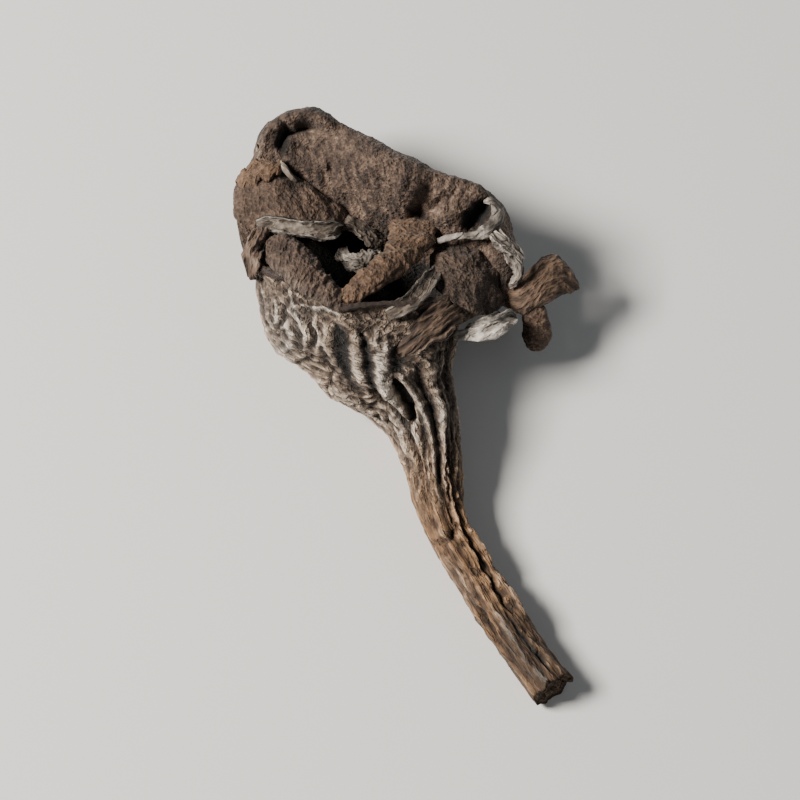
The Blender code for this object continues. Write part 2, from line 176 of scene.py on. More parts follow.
@dataclass(frozen=True)
class Viewpoint:
    """A direction to look from, round the mushroom and down on it, in degrees."""

    azimuth: float
    elevation: float

    def right(self) -> np.ndarray:
        """The way that is to the right of the picture."""
        a = math.radians(self.azimuth)
        return np.array([math.cos(a), math.sin(a), 0.0])

    def back(self) -> np.ndarray:
        """The way from the mushroom to the eye."""
        a, e = math.radians(self.azimuth), math.radians(self.elevation)
        return np.array([math.sin(a) * math.cos(e), -math.cos(a) * math.cos(e), math.sin(e)])

    def up(self) -> np.ndarray:
        """The way that is up in the picture."""
        return np.cross(self.back(), self.right())

    def flat(self, points: np.ndarray) -> np.ndarray:
        """Where points lie in the picture."""
        return np.stack([points @ self.right(), points @ self.up()], axis=-1)

    def solid(self, seen: np.ndarray) -> np.ndarray:
        """Finds points, or the ways between points, from how they are seen.

        Args:
            seen: How far to the right and up each lies in the picture, and its height.

        Returns:
            The points, one a row.
        """
        across, up, height = seen.T[..., None]
        e = math.radians(self.elevation)
        right = self.right()
        ahead = (up - math.cos(e) * height) / math.sin(e) * np.array([-right[1], right[0], 0.0])
        return across * right + ahead + height * np.array([0.0, 0.0, 1.0])


FRONT = Viewpoint(azimuth=-18.6, elevation=65.0)


class Grain:
    """Smooth random relief through space, the same on every run."""

    CELLS = 256
    GAIN = 1.6
    LAYER_SHIFT = 17.3  # keeps finer layers off the coarse one's zeros
    SHARPNESS = 2.4

    def __init__(self, seed: int) -> None:
        """Draws the slopes and the order of the cells.

        Args:
            seed: Which relief this is.
        """
        draw = np.random.default_rng(seed)
        self.order = np.tile(draw.permutation(self.CELLS), 2)
        self.slopes = unit(draw.normal(size=(self.CELLS, 3))).astype(np.float32)

    def at(self, points: np.ndarray) -> np.ndarray:
        """Reads the relief.

        Args:
            points: Where to read it; a cell is one unit wide.

        Returns:
            A value from about -1 to 1 for each point.
        """
        base = np.floor(points).astype(np.int64)
        within = (points - base).astype(np.float32)
        fade = within**3 * (within * (within * 6 - 15) + 10)
        total = np.zeros(points.shape[:-1], np.float32)
        for corner in np.ndindex(2, 2, 2):
            cell = (base + corner) % self.CELLS
            row = self.order[self.order[cell[..., 0]] + cell[..., 1]]
            slope = self.slopes[self.order[row + cell[..., 2]]]
            value = ((within - np.array(corner, np.float32)) * slope).sum(axis=-1)
            for axis in range(3):
                value = value * (fade[..., axis] if corner[axis] else 1 - fade[..., axis])
            total += value
        return self.GAIN * total

    def rough(self, points: np.ndarray, octaves: int, fall: float = 0.5) -> np.ndarray:
        """Reads the relief with finer and finer relief laid over it.

        Args:
            points: Where to read it.
            octaves: How many layers there are, each twice as fine as the one before.
            fall: Each layer's height as a share of the one before.

        Returns:
            A value from about -1 to 1 for each point.
        """
        layers = (fall**k * self.at(points * 2.0**k + self.LAYER_SHIFT * k) for k in range(octaves))
        return sum(layer.astype(float) for layer in layers)

    def ridged(self, points: np.ndarray, octaves: int = 1) -> np.ndarray:
        """The same relief folded at zero: sharp crests of height 1 with wide valleys between them."""
        return 1 - self.SHARPNESS * np.abs(self.rough(points, octaves))

    def sway(self, points: np.ndarray, step: float, axes: int) -> np.ndarray:
        """Reads the relief at as many far places as there are axes, for shifting points about."""
        return np.stack([self.at(points + step * axis) for axis in range(axes)], axis=-1)


@dataclass(frozen=True)
class Wrinkles:
    """One family of wrinkles that run with the growth of the flesh.

    The reach says at which shares of the way along they start, are full, fade and end. The radius
    is about the funnel's there, and the length is how many spacings long they are. A sharpness
    above zero gives narrow crests, and one below it narrow grooves.
    """

    seed: int
    reach: tuple[float, float, float, float]
    radius: float
    spacing: float
    length: float
    depth: float
    sharp: float
    warp: float = 0.6

    SWAY_SCALE = 0.55
    SWAY_STEP = 31.0
    SWAY = np.array([1.0, 1.0, 0.6])
    FINER_SCALE = np.array([2.1, 2.1, 1.7])
    FINER = 0.22
    SOFT_SCALE = 0.8

    def heights(self, turn: np.ndarray, along: np.ndarray, run: np.ndarray) -> np.ndarray:
        """Works out the relief on a grid.

        Args:
            turn: The share of the way round.
            along: The share of the way from foot to margin.
            run: The same in millimetres.

        Returns:
            Heights in millimetres: crests above zero and grooves below.
        """
        start, full, fading, end = self.reach
        share = ease(along, start, full) * (1 - ease(along, fading, end))
        angle = 2 * math.pi * turn
        parts = (np.cos(angle) * self.radius, np.sin(angle) * self.radius, run / self.length)
        place = np.stack(np.broadcast_arrays(*parts), axis=-1) / self.spacing
        sway = Grain(self.seed + 50).sway(place * self.SWAY_SCALE, self.SWAY_STEP, 3)
        swayed = place + self.warp * sway * self.SWAY
        crests = Grain(self.seed).ridged(swayed)
        crests = crests + self.FINER * Grain(self.seed + 1).ridged(swayed * self.FINER_SCALE)
        soft = Grain(self.seed + 2).at(swayed * self.SOFT_SCALE)
        return self.depth * share * (self.sharp * crests + (1 - abs(self.sharp)) * soft)


@dataclass(frozen=True)
class Stroke:
    """A crease or a ridge, drawn on the flesh as it is seen from the front.

    The path gives its points' places in the picture, to the right and up in turn. The tint pales
    the flesh where it is above zero, partly as its pale bloom and partly as painted light on ridges,
    and darkens it below, as painted shade in creases and pits. An edge of 2 gives a soft fold, and
    more gives a pit with a flat floor.
    """

    path: tuple[float, ...]
    width: float
    height: float
    tint: float = 0.0
    edge: float = 2.0

    REACH = 2.6  # how many widths away it is still felt
    CURVE_POINTS = 28
    TIP = 0.25  # its width and height at its tips, as a share

    @classmethod
    def table(cls, *rows: tuple) -> tuple["Stroke", ...]:
        """The strokes of a table, one a row."""
        return tuple(cls(*row) for row in rows)

    def profile(self, flat: np.ndarray) -> np.ndarray:
        """Works out how much of the stroke each point gets.

        Args:
            flat: Where each point lies in the picture.

        Returns:
            A share from 0 away from the stroke to 1 on its line.
        """
        path = np.reshape(self.path, (-1, 2))
        reach = self.REACH * self.width
        shares = np.zeros(flat.shape[:-1])
        near = np.all((flat > path.min(axis=0) - reach) & (flat < path.max(axis=0) + reach), axis=-1)
        spots = flat[near]
        if not len(spots):
            return shares
        knots = np.arange(float(len(path)))
        curve = smooth_through(path, knots, np.linspace(0, knots[-1], self.CURVE_POINTS))
        gaps = np.linalg.norm(spots[:, None] - curve[None], axis=-1)
        place = gaps.argmin(axis=1) / (len(curve) - 1)
        taper = self.TIP + (1 - self.TIP) * np.sqrt(np.clip(4 * place * (1 - place), 0, 1))
        shares[near] = taper * np.exp(-((gaps.min(axis=1) / (self.width * taper)) ** self.edge))
        return shares


@dataclass(frozen=True)
class Wash:
    """A soft patch of the skin that is paler or darker, up to a height: the darker patches are mostly
    painted shade in hollows, creases and on the side turned from the light.
    """

    middle: Pair
    size: Pair
    amount: float
    side: Side = Side.OUTSIDE
    below: float = 99.0

    FADE = 2.0

    def strength(self, flat: np.ndarray, height: np.ndarray) -> np.ndarray:
        """Works out how strong the patch is.

        Args:
            flat: Where each point lies in the picture.
            height: How high it lies.

        Returns:
            The patch's amount at each point.
        """
        off = (flat - np.array(self.middle)) / np.array(self.size)
        kept = 1 - ease(height, self.below, self.below + self.FADE)
        return self.amount * np.exp(-(off**2).sum(axis=-1)) * kept


@dataclass(frozen=True)
class Mottle:
    """One kind of mottling in the flesh: its cells a millimetre, its detail and its roughness.

    The shade is how much it pales the flesh, and the depth how far it stands out, in millimetres.
    """

    scale: float
    detail: float
    roughness: float
    shade: float
    depth: float = 0.0


@dataclass
class Recipe:
    """A material in the making."""

    tree: bpy.types.NodeTree

    def fill(self, node: bpy.types.Node, inputs: dict[int | str, "Socket | float | tuple"]) -> None:
        """Gives a node what its inputs take.

        Args:
            node: The node.
            inputs: A socket to link or a value to set, for each input.
        """
        for key, value in inputs.items():
            if isinstance(value, Socket):
                self.tree.links.new(value, node.inputs[key])
            else:
                node.inputs[key].default_value = value

    def node(self, kind: str, inputs: dict, output: int | str = 0, **settings: str) -> Socket:
        """Adds a node.

        Args:
            kind: Its type.
            inputs: What its inputs take.
            output: Which of its sockets is wanted.
            **settings: Its own settings.

        Returns:
            The wanted socket.
        """
        node = self.tree.nodes.new(kind)
        for key, value in settings.items():
            setattr(node, key, value)
        self.fill(node, inputs)
        return node.outputs[output]

    def read(self, name: str, output: str = "Fac") -> Socket:
        """Reads one of the mesh's own values."""
        return self.node("ShaderNodeAttribute", {}, output, attribute_name=name)

    def math(self, operation: str, *values: "Socket | float") -> Socket:
        """Does one sum with the values."""
        return self.node("ShaderNodeMath", dict(enumerate(values)), operation=operation)

    def noise(self, place: Socket, mottle: Mottle) -> Socket:
        """Adds mottling.

        Args:
            place: Where the point lies in the growth.
            mottle: The kind of mottling.

        Returns:
            A socket with values about zero.
        """
        inputs = {"Scale": mottle.scale, "Detail": mottle.detail, "Roughness": mottle.roughness}
        noise = self.node("ShaderNodeTexNoise", {"Vector": place, **inputs}, "Fac")
        return self.math("SUBTRACT", noise, 0.5)

    def line(self, place: Socket, mottle: Mottle, sharp: float) -> Socket:
        """Adds thin lines along the zeros of a mottling.

        Args:
            place: Where the point lies in the growth.
            mottle: The kind of mottling.
            sharp: How thin the lines are.

        Returns:
            A socket from 0 between the lines to 1 on them.
        """
        away = self.math("ABSOLUTE", self.noise(place, mottle))
        line = self.math("SUBTRACT", 1.0, self.math("MULTIPLY", away, sharp))
        return self.math("MAXIMUM", line, 0.0)

    def total(self, start: float, *terms: tuple[Socket, float]) -> Socket:
        """Adds weighted values up.

        Args:
            start: What is added to them all.
            *terms: Each value with its weight.

        Returns:
            The sum's socket.
        """
        total = start
        for value, weight in terms:
            total = self.math("MULTIPLY_ADD", value, weight, total)
        return total

    def blend(self, share: Socket, first: Socket, second: "Socket | tuple") -> Socket:
        """Mixes two colours by a share."""
        return self.node("ShaderNodeMix", {0: share, 6: first, 7: second}, 2, data_type="RGBA")


@dataclass(frozen=True)
class Ramp:
    """Colours of one face of the flesh, from its grooves to its crests: dark grooves that are painted
    shade, and pale crests that are partly pale bloom and partly painted light.
    """

    grooves: Triple
    slopes: Triple
    backs: Triple
    crests: Triple
    places: tuple[float, ...] = (0.10, 0.38, 0.66, 1.0)

    def add(self, recipe: Recipe, value: Socket) -> Socket:
        """Adds the ramp to a material.

        Args:
            recipe: The material.
            value: What to read the ramp by.

        Returns:
            The colour's socket.
        """
        colour = recipe.node("ShaderNodeValToRGB", {"Fac": value}, "Color")
        stops = colour.node.color_ramp.elements
        tints = (self.grooves, self.slopes, self.backs, self.crests)
        for index, (place, tint) in enumerate(zip(self.places, tints)):
            stop = stops[index] if index < len(stops) else stops.new(place)
            stop.position = place
            stop.color = (*tint, 1.0)
        return colour


@dataclass(frozen=True)
class Flesh:
    """The finish of the dried flesh: dull and fibrous, dark in its grooves as painted shade, and pale on
    its crests, partly from its bloom and partly as painted light.
    """

    outside: Ramp = Ramp(
        (0.010, 0.0065, 0.004), (0.070, 0.048, 0.034), (0.195, 0.145, 0.106), (0.52, 0.41, 0.315)
    )
    stem: Ramp = Ramp(
        (0.014, 0.008, 0.005), (0.078, 0.043, 0.022), (0.205, 0.115, 0.056), (0.52, 0.33, 0.19)
    )
    velvet: Ramp = Ramp(
        (0.010, 0.0065, 0.0045), (0.050, 0.032, 0.023), (0.135, 0.090, 0.064), (0.34, 0.25, 0.185)
    )
    edge: Ramp = Ramp(
        (0.010, 0.008, 0.007), (0.060, 0.051, 0.043), (0.21, 0.185, 0.158), (0.68, 0.61, 0.53)
    )
    # the near-black that the painted shade, and the darker foot, blend to
    black: Triple = (0.006, 0.005, 0.004)
    level: float = 0.42
    crest_shade: float = 0.40
    blotch: Mottle = Mottle(0.35, 3.0, 0.6, 0.55)
    fibre: Mottle = Mottle(3.2, 2.0, 0.6, 0.4, 0.14)
    speck: Mottle = Mottle(8.5, 1.0, 0.6, 0.3, 0.05)
    nap: Mottle = Mottle(2.5, 1.0, 0.5, 0.55, 0.42)
    # Thin lines of the fine relief: the dark groove lines are painted shade as well as sunk, the pale ones
    # partly bloom and partly painted light
    crease: Mottle = Mottle(0.8, 2.5, 0.45, 0.24, 0.13)
    groove: Mottle = Mottle(1.1, 2.5, 0.45, -0.13, -0.13)
    line_sharp: float = 18.0
    roughness: float = 0.69
    fibre_rough: float = 0.18
    crest_rough: float = -0.06
    specular: float = 0.22
    sheen: float = 0.06
    sheen_roughness: float = 0.5

    def material(self, name: str) -> bpy.types.Material:
        """Makes the material.

        Args:
            name: The material's name.

        Returns:
            A material that reads the relief, the face and the growth of the flesh from the mesh.
        """
        made = bpy.data.materials.new(name)
        made.use_nodes = True
        mix = Recipe(made.node_tree)
        growth = mix.read("growth", "Vector")
        crest, velvet, warm, pale, painted_shade_and_dark = (mix.read(k) for k in ("crest", "velvet", "warm", "pale", "painted_shade_and_dark"))
        bare = mix.math("SUBTRACT", 1.0, velvet)
        kinds = (self.blotch, self.fibre, self.speck, self.nap, self.crease, self.groove)
        blotch, fibre, speck, nap = (mix.noise(growth, kind) for kind in kinds[:4])
        crease, groove = (mix.line(growth, kind, self.line_sharp) for kind in kinds[4:])
        nap = mix.math("MULTIPLY", nap, velvet)
        crease, groove = mix.math("MULTIPLY", crease, bare), mix.math("MULTIPLY", groove, bare)
        grains = tuple(zip((blotch, fibre, speck, nap, crease, groove), kinds))
        # The crest value darkens the grooves with painted shade and pales the crests, partly as painted
        # light
        level = mix.total(self.level, (crest, self.crest_shade), *((v, kind.shade) for v, kind in grains))
        colour = self.outside.add(mix, level)
        for share, ramp in ((velvet, self.velvet), (warm, self.stem), (pale, self.edge)):
            colour = mix.blend(share, colour, ramp.add(mix, level))
        relief = mix.total(0.0, *((v, kind.depth) for v, kind in grains if kind.depth))
        bump = {"Distance": MM, "Strength": 1.0, "Height": relief}
        finish = {
            "Base Color": mix.blend(painted_shade_and_dark, colour, (*self.black, 1.0)),
            "Roughness": mix.total(self.roughness, (fibre, self.fibre_rough), (crest, self.crest_rough)),
            "Normal": mix.node("ShaderNodeBump", bump),
            "Specular IOR Level": self.specular,
            "Sheen Weight": self.sheen,
            "Sheen Roughness": self.sheen_roughness,
        }
        mix.fill(made.node_tree.nodes["Principled BSDF"], finish)
        return made


@dataclass
class FleshMesh:
    """A closed skin of rings, with what its finish reads at every point."""

    rings: np.ndarray
    values: dict[str, "np.ndarray | float"]
    growth: np.ndarray

    def __post_init__(self) -> None:
        """Spreads every value over all the points."""
        self.values = {key: np.broadcast_to(v, self.rings.shape[:2]) for key, v in self.values.items()}

    @classmethod
    def join(cls, bands: list["FleshMesh"]) -> "FleshMesh":
        """Joins bands of rings.

        Args:
            bands: The bands, each going on where the one before ends.

        Returns:
            One skin of them all.
        """
        return cls(
            np.concatenate([band.rings for band in bands]),
            {key: np.concatenate([band.values[key] for band in bands]) for key in bands[0].values},
            np.concatenate([band.growth for band in bands]),
        )

    def chosen(self, rows: np.ndarray) -> "FleshMesh":
        """Only the chosen rings, in their order."""
        values = {key: value[rows] for key, value in self.values.items()}
        return FleshMesh(self.rings[rows], values, self.growth[rows])

    def make(self, name: str, finish: bpy.types.Material) -> bpy.types.Object:
        """Makes the object, closed at both ends by a fan.

        Args:
            name: The piece's name.
            finish: Its material.

        Returns:
            The object, in metres in the shared frame.
        """
        rows, columns = self.rings.shape[:2]
        tips = (self.rings[:1].mean(axis=1), self.rings[-1:].mean(axis=1))
        points = np.concatenate([tips[0], self.rings.reshape(-1, 3), tips[1]])
        points = np.clip((points - np.array(BOX_MIDDLE)) * MM, *(np.array(corner) for corner in CAD_BOX))
        grid = 1 + np.arange(rows * columns).reshape(rows, columns)
        beside = np.roll(grid, -1, axis=1)
        quads = np.stack([grid[:-1], beside[:-1], beside[1:], grid[1:]], axis=-1).reshape(-1, 4)
        first = np.stack([np.zeros(columns, int), beside[0], grid[0]], axis=-1)
        last = np.stack([grid[-1], beside[-1], np.full(columns, len(points) - 1)], axis=-1)
        data = bpy.data.meshes.new(name)
        data.from_pydata(points.tolist(), [], first.tolist() + quads.tolist() + last.tolist())
        shell = bmesh.new()
        shell.from_mesh(data)
        if shell.calc_volume(signed=True) < 0:
            data.flip_normals()
        shell.free()
        data.shade_smooth()
        for key, value in self.values.items():
            self._store(data, key, "FLOAT", "value", value.reshape(-1, 1))
        self._store(data, "growth", "FLOAT_VECTOR", "vector", self.growth.reshape(-1, 3))
        data.materials.append(finish)
        made = bpy.data.objects.new(name, data)
        bpy.context.scene.collection.objects.link(made)
        return made

    @staticmethod
    def _store(data: bpy.types.Mesh, name: str, kind: str, field_name: str, inner: np.ndarray) -> None:
        """Stores a value for each point of the rings, and the first and the last again at the tips."""
        full = np.concatenate([inner[:1], inner, inner[-1:]]).astype(np.float32)
        data.attributes.new(name, kind, "POINT").data.foreach_set(field_name, full.ravel())


def surface_normals(rings: np.ndarray) -> np.ndarray:
    """Unit normals of a closed grid of rings, facing out of the funnel."""
    around = np.roll(rings, -1, axis=1) - np.roll(rings, 1, axis=1)
    return unit(np.cross(np.gradient(rings, axis=0), around))


def smooth_out(heights: np.ndarray, rings: np.ndarray, reach: float) -> np.ndarray:
    """Blurs values on a closed grid of rings.

    Args:
        heights: The values.
        rings: The grid's points, which give its spacing.
        reach: How far to blur, in millimetres.

    Returns:
        The blurred values.
    """
    girth = np.linalg.norm(np.diff(rings, axis=1, append=rings[:, :1]), axis=2).sum(axis=1)
    waves = np.fft.rfft(heights, axis=1)
    order = np.arange(waves.shape[1])[None]
    waves *= np.exp(-0.5 * (2 * math.pi * order * reach / girth[:, None]) ** 2)
    round_blur = np.fft.irfft(waves, n=heights.shape[1], axis=1)
    step = np.linalg.norm(np.diff(rings, axis=0), axis=2).mean()
    half = max(1, int(3 * reach / step))
    weights = np.exp(-0.5 * (np.arange(-half, half + 1) * step / reach) ** 2)
    padded = np.pad(round_blur, ((half, half), (0, 0)), mode="edge")
    weights /= weights.sum()
    return sum(weight * padded[k : k + len(heights)] for k, weight in enumerate(weights))


WRINKLES = (
    Wrinkles(3, (-0.2, -0.1, 0.36, 0.50), 2.7, spacing=1.6, length=8.0, depth=0.17, sharp=-0.6),
    Wrinkles(13, (-0.2, -0.1, 0.42, 0.55), 3.0, spacing=0.8, length=9.0, depth=0.07, sharp=0.7),
    Wrinkles(23, (0.34, 0.46, 0.56, 0.68), 5.0, spacing=1.5, length=3.2, depth=0.17, sharp=0.7),
    Wrinkles(33, (0.52, 0.66, 0.92, 1.02), 9.5, spacing=1.7, length=1.8, depth=0.20, sharp=0.85, warp=1.2),
    Wrinkles(43, (0.46, 0.64, 0.94, 1.02), 9.5, spacing=1.05, length=2.0, depth=0.14, sharp=0.9, warp=0.9),
)

# Creases and ridges of the funnel and the stem; their tints pale the ridges, partly pale bloom and partly
# painted light, and darken the creases with painted shade
FUNNEL_STROKES = Stroke.table(
    ((-18.6, 12.9, -17.0, 10.7, -15.8, 7.6, -14.5, 4.7), 0.45, 0.28),
    ((-17.0, 13.2, -16.1, 11.3, -15.1, 8.8, -14.2, 6.3, -12.6, 4.1), 0.4, -0.6, -0.12),
    ((-15.8, 13.2, -15.4, 10.7, -14.8, 8.2, -13.2, 5.4, -11.3, 3.8, -9.4, 2.2), 0.36, 0.52, 0.5),
    ((-14.5, 12.0, -13.9, 10.1, -12.6, 8.5, -12.0, 6.6, -11.3, 5.0), 0.32, 0.48, 0.45),
    ((-12.9, 13.2, -12.6, 11.3, -12.0, 10.1, -11.0, 8.2, -10.7, 6.0), 0.3, 0.48, 0.45),
    ((-13.2, 7.6, -12.6, 6.9, -12.3, 6.3), 0.7, 0.28, 0.55),
    ((-10.1, 10.1, -10.1, 8.8, -9.4, 7.6, -9.8, 6.0), 0.3, 0.44, 0.4),
    ((-14.2, 9.4, -13.5, 8.2, -12.9, 8.8), 0.3, -0.48, -0.15),
    ((-13.5, 11.3, -13.2, 10.1, -13.5, 9.1), 0.28, -0.48, -0.15),
    ((-11.3, 10.1, -11.0, 9.1, -10.1, 7.6, -10.4, 6.3), 0.3, -0.52, -0.15),
    ((-13.9, 6.6, -13.2, 6.3, -12.6, 5.0), 0.28, -0.48, -0.15),
    ((-12.0, 11.3, -10.1, 10.8, -8.5, 10.5, -6.9, 9.6), 0.3, 0.48, 0.45),
    ((-11.3, 5.5, -10.1, 5.5, -8.8, 4.9, -8.2, 3.5, -8.2, 2.2), 0.28, -0.64, -0.2),
    ((-11.3, 4.4, -10.1, 3.8, -9.1, 2.5), 0.3, -0.32, -0.1),
    ((-8.8, 9.4, -8.8, 7.2, -8.2, 5.4, -7.2, 3.5, -6.6, 1.9), 0.3, 0.3, 0.2),
    ((-7.6, 9.0, -7.2, 7.2, -7.1, 5.0, -6.5, 2.8), 0.9, -0.8, -1.5),
    ((-6.1, 6.6, -5.5, 4.7, -4.7, 2.8, -3.8, 0.9), 0.8, 0.45, 0.1),
    ((-5.4, 5.7, -4.4, 3.5, -3.1, 1.6), 0.3, 0.28, 0.12),
    ((-5.2, 8.2, -4.4, 6.3, -4.2, 4.4, -3.8, 2.5, -3.0, 1.1), 0.5, -0.85, -1.3),
    ((-8.2, 2.5, -6.6, 1.6, -4.7, 0.6, -3.5, 0.5), 0.3, 0.4, 0.18),
    ((-3.3, 9.1, -3.2, 6.9, -3.1, 4.4, -2.7, 2.2, -1.6, 0.0), 0.4, 0.35, 0.35),
    ((-2.4, 7.2, -2.4, 5.7, -2.5, 3.8, -2.2, 1.9, -0.9, -0.3, 0.3, -2.2), 0.7, 0.6, 0.45),
    ((-2.9, 8.2, -2.8, 5.7, -2.9, 3.1, -2.4, 0.9), 0.2, -0.1),
    ((-0.9, 6.8, -0.8, 5.0, -0.9, 3.5), 1.1, -0.7, -1.2),
    ((-1.3, 2.7, -0.4, 1.6, 0.2, 0.2, 0.8, -1.9), 0.62, -2.6, -2.4, 4.0),
    ((-0.8, 3.3, 0.5, 1.9, 1.3, 0.2, 2.4, -1.7), 0.3, 0.5, 0.35),
    ((1.6, -0.3, 2.5, 0.6, 3.6, 0.3, 4.1, -0.9, 3.3, -2.0), 0.35, 0.35, 0.3),
    ((0.3, 4.4, 1.9, 3.5, 3.1, 3.8, 4.1, 5.0), 0.3, 0.22, 0.1),
    ((0.6, 3.1, 1.9, 2.2, 3.5, 2.5, 4.4, 4.1), 0.25, -0.28, -0.05),
    ((1.3, 1.9, 2.5, 1.3, 3.8, 1.6, 4.7, 2.8), 0.28, 0.2, 0.1),
    ((1.9, 5.7, 2.8, 5.0, 3.8, 6.0), 0.25, -0.28),
    ((0.0, 6.9, 1.6, 6.0, 2.8, 6.9), 0.3, 0.2, 0.05),
    ((4.1, 7.6, 5.0, 4.4, 5.7, 1.3, 6.1, -2.5), 0.5, -0.3, -0.1),
    ((-9.4, 2.4, -7.9, 1.1, -6.0, 0.0, -4.1, -1.4, -2.2, -3.1), 0.3, 0.48, 0.42),
    ((-6.3, 1.1, -4.4, -0.2, -2.8, -1.3, -1.6, -2.5), 0.28, 0.4, 0.3),
    ((-6.9, 0.3, -5.0, -0.9, -3.1, -2.4), 0.22, -0.48, -0.15),
    ((-5.0, 0.9, -3.1, -0.3, -1.6, -1.6, -0.3, -3.1), 0.28, -0.48, -0.15),
    ((-1.6, -1.1, -0.3, -2.2, 1.3, -3.5, 2.2, -4.7), 0.45, 0.44, 0.33),
    ((-0.5, -2.8, 0.0, -4.7, 0.5, -6.9), 0.55, 0.3, 0.35),
    ((1.9, -3.1, 2.2, -5.4, 2.5, -8.2, 3.1, -11.7), 0.28, -0.6, -0.3),
    ((3.8, -2.8, 3.6, -5.7, 3.8, -8.8, 3.9, -12.6), 0.5, 0.35, 0.35),
    ((4.7, -4.1, 4.6, -6.9, 4.9, -10.1, 5.2, -13.5), 0.26, -0.6, -0.3),
    ((5.8, -2.5, 6.1, -5.7, 6.0, -9.1, 5.7, -12.3), 0.35, -0.6, -0.35),
    ((0.6, -4.4, 1.3, -7.2, 1.9, -10.1, 2.8, -13.2), 0.3, 0.3, 0.15),
    ((2.7, -15.3, 4.1, -15.1, 5.2, -14.6, 5.7, -13.2), 0.3, -0.85, -0.6),
    ((3.1, -13.7, 4.3, -14.4, 5.0, -13.7), 0.5, 0.3, 0.1),
    ((4.1, -16.4, 5.7, -18.6, 6.9, -20.8, 8.2, -23.0), 0.8, 0.25, 0.3),
    ((6.0, -13.2, 7.4, -15.6, 9.1, -18.3, 10.7, -21.1, 11.7, -23.0), 0.3, -1.0, -0.8),
    ((6.9, -13.9, 8.5, -16.2, 10.2, -18.7, 12.0, -21.6, 13.2, -23.9), 0.5, 0.6, 0.25),
    ((6.5, -14.5, 8.0, -17.0, 9.6, -19.5), 0.2, 0.35, 0.2),
    ((7.9, -15.1, 9.8, -18.0, 11.7, -20.8), 0.2, -0.5, -0.3),
    ((5.7, -19.8, 6.6, -21.7, 7.6, -23.6), 0.3, -0.5, -0.3),
    ((7.7, -22.1, 9.1, -24.3, 10.7, -26.8), 0.3, -0.5, -0.4),
    ((9.1, -21.4, 11.0, -24.3, 12.6, -26.8, 13.9, -29.0), 0.22, 0.5, 0.85),
    ((6.6, -22.4, 8.2, -25.2, 9.8, -27.7), 0.35, 0.4, 0.3),
    ((11.0, -22.7, 13.2, -25.8, 15.8, -29.0), 0.3, -0.65, -0.4),
    ((12.6, -24.6, 15.1, -27.4, 18.0, -30.6), 0.35, 0.4, 0.15),
    ((13.9, -28.7, 15.0, -29.9, 16.1, -30.9), 0.4, 0.35, 0.8),
)

# Forms of the cap's velvet that both faces of the flesh follow, towards the eye; their tints darken creases
# and pits with painted shade
CAP_FORMS = Stroke.table(
    ((-16.3, 28.0, -16.3, 30.6, -15.3, 32.2, -12.9, 33.0, -10.4, 33.0, -8.2, 31.6), 1.15, 1.9),
    ((-14.2, 28.8, -14.2, 30.2, -13.4, 31.0, -11.8, 31.4, -9.8, 31.7), 0.5, -2.2, -0.7),
    ((-12.9, 29.2, -10.7, 29.5, -8.5, 29.5), 1.8, -1.1),
    ((-7.6, 28.2, -3.8, 26.4, -0.6, 24.4, 1.3, 23.0), 2.9, 2.3),
    ((3.3, 22.6, 4.6, 21.6, 5.7, 22.9), 1.5, 1.1),
    ((6.9, 19.9, 8.1, 21.5, 9.4, 23.1), 1.0, -2.4, -4.0, 4.0),
    ((0.6, 22.6, 1.4, 21.6, 2.1, 20.8), 0.85, -2.0, -0.5),
    ((-14.8, 27.4, -12.0, 25.2, -9.1, 23.0, -6.0, 20.8), 0.7, -1.2, -0.5),
    ((-4.4, 20.0, -1.9, 19.5, 0.0, 18.6), 1.3, -0.9),
    ((2.8, 23.0, 3.5, 23.9, 4.4, 24.2, 5.0, 23.6), 0.35, 0.5),
    ((3.2, 22.4, 4.1, 23.0, 5.0, 22.7, 4.7, 21.4), 0.35, -0.8, -0.3),
    ((3.8, 21.7, 4.7, 21.1, 6.0, 21.4), 0.35, 0.5),
    ((-8.8, 27.7, -8.3, 26.8, -8.6, 26.0), 0.4, -0.7, -0.2),
    ((-9.6, 26.6, -9.0, 26.2), 0.4, -0.6, -0.2),
    ((-6.9, 23.6, -6.9, 22.6, -7.2, 21.9), 0.45, -0.8, -0.3),
    ((-7.4, 28.6, -6.4, 27.0, -6.2, 25.0), 0.4, -0.35),
    ((-5.9, 28.2, -5.1, 26.4, -5.2, 24.2), 0.4, -0.3),
    ((-4.7, 27.4, -3.9, 25.5, -4.1, 23.2), 0.45, -0.45),
    ((-3.4, 27.2, -2.8, 25.4, -2.9, 22.6), 0.4, -0.35),
    ((-2.2, 26.8, -1.4, 24.9, -1.6, 22.7), 0.5, -0.4),
    ((0.3, 25.5, 0.6, 24.3), 0.5, -0.4),
)

# The smooth bulge beside the slit
CALM = Wash((2.7, 2.4), (2.6, 5.0), 0.8)

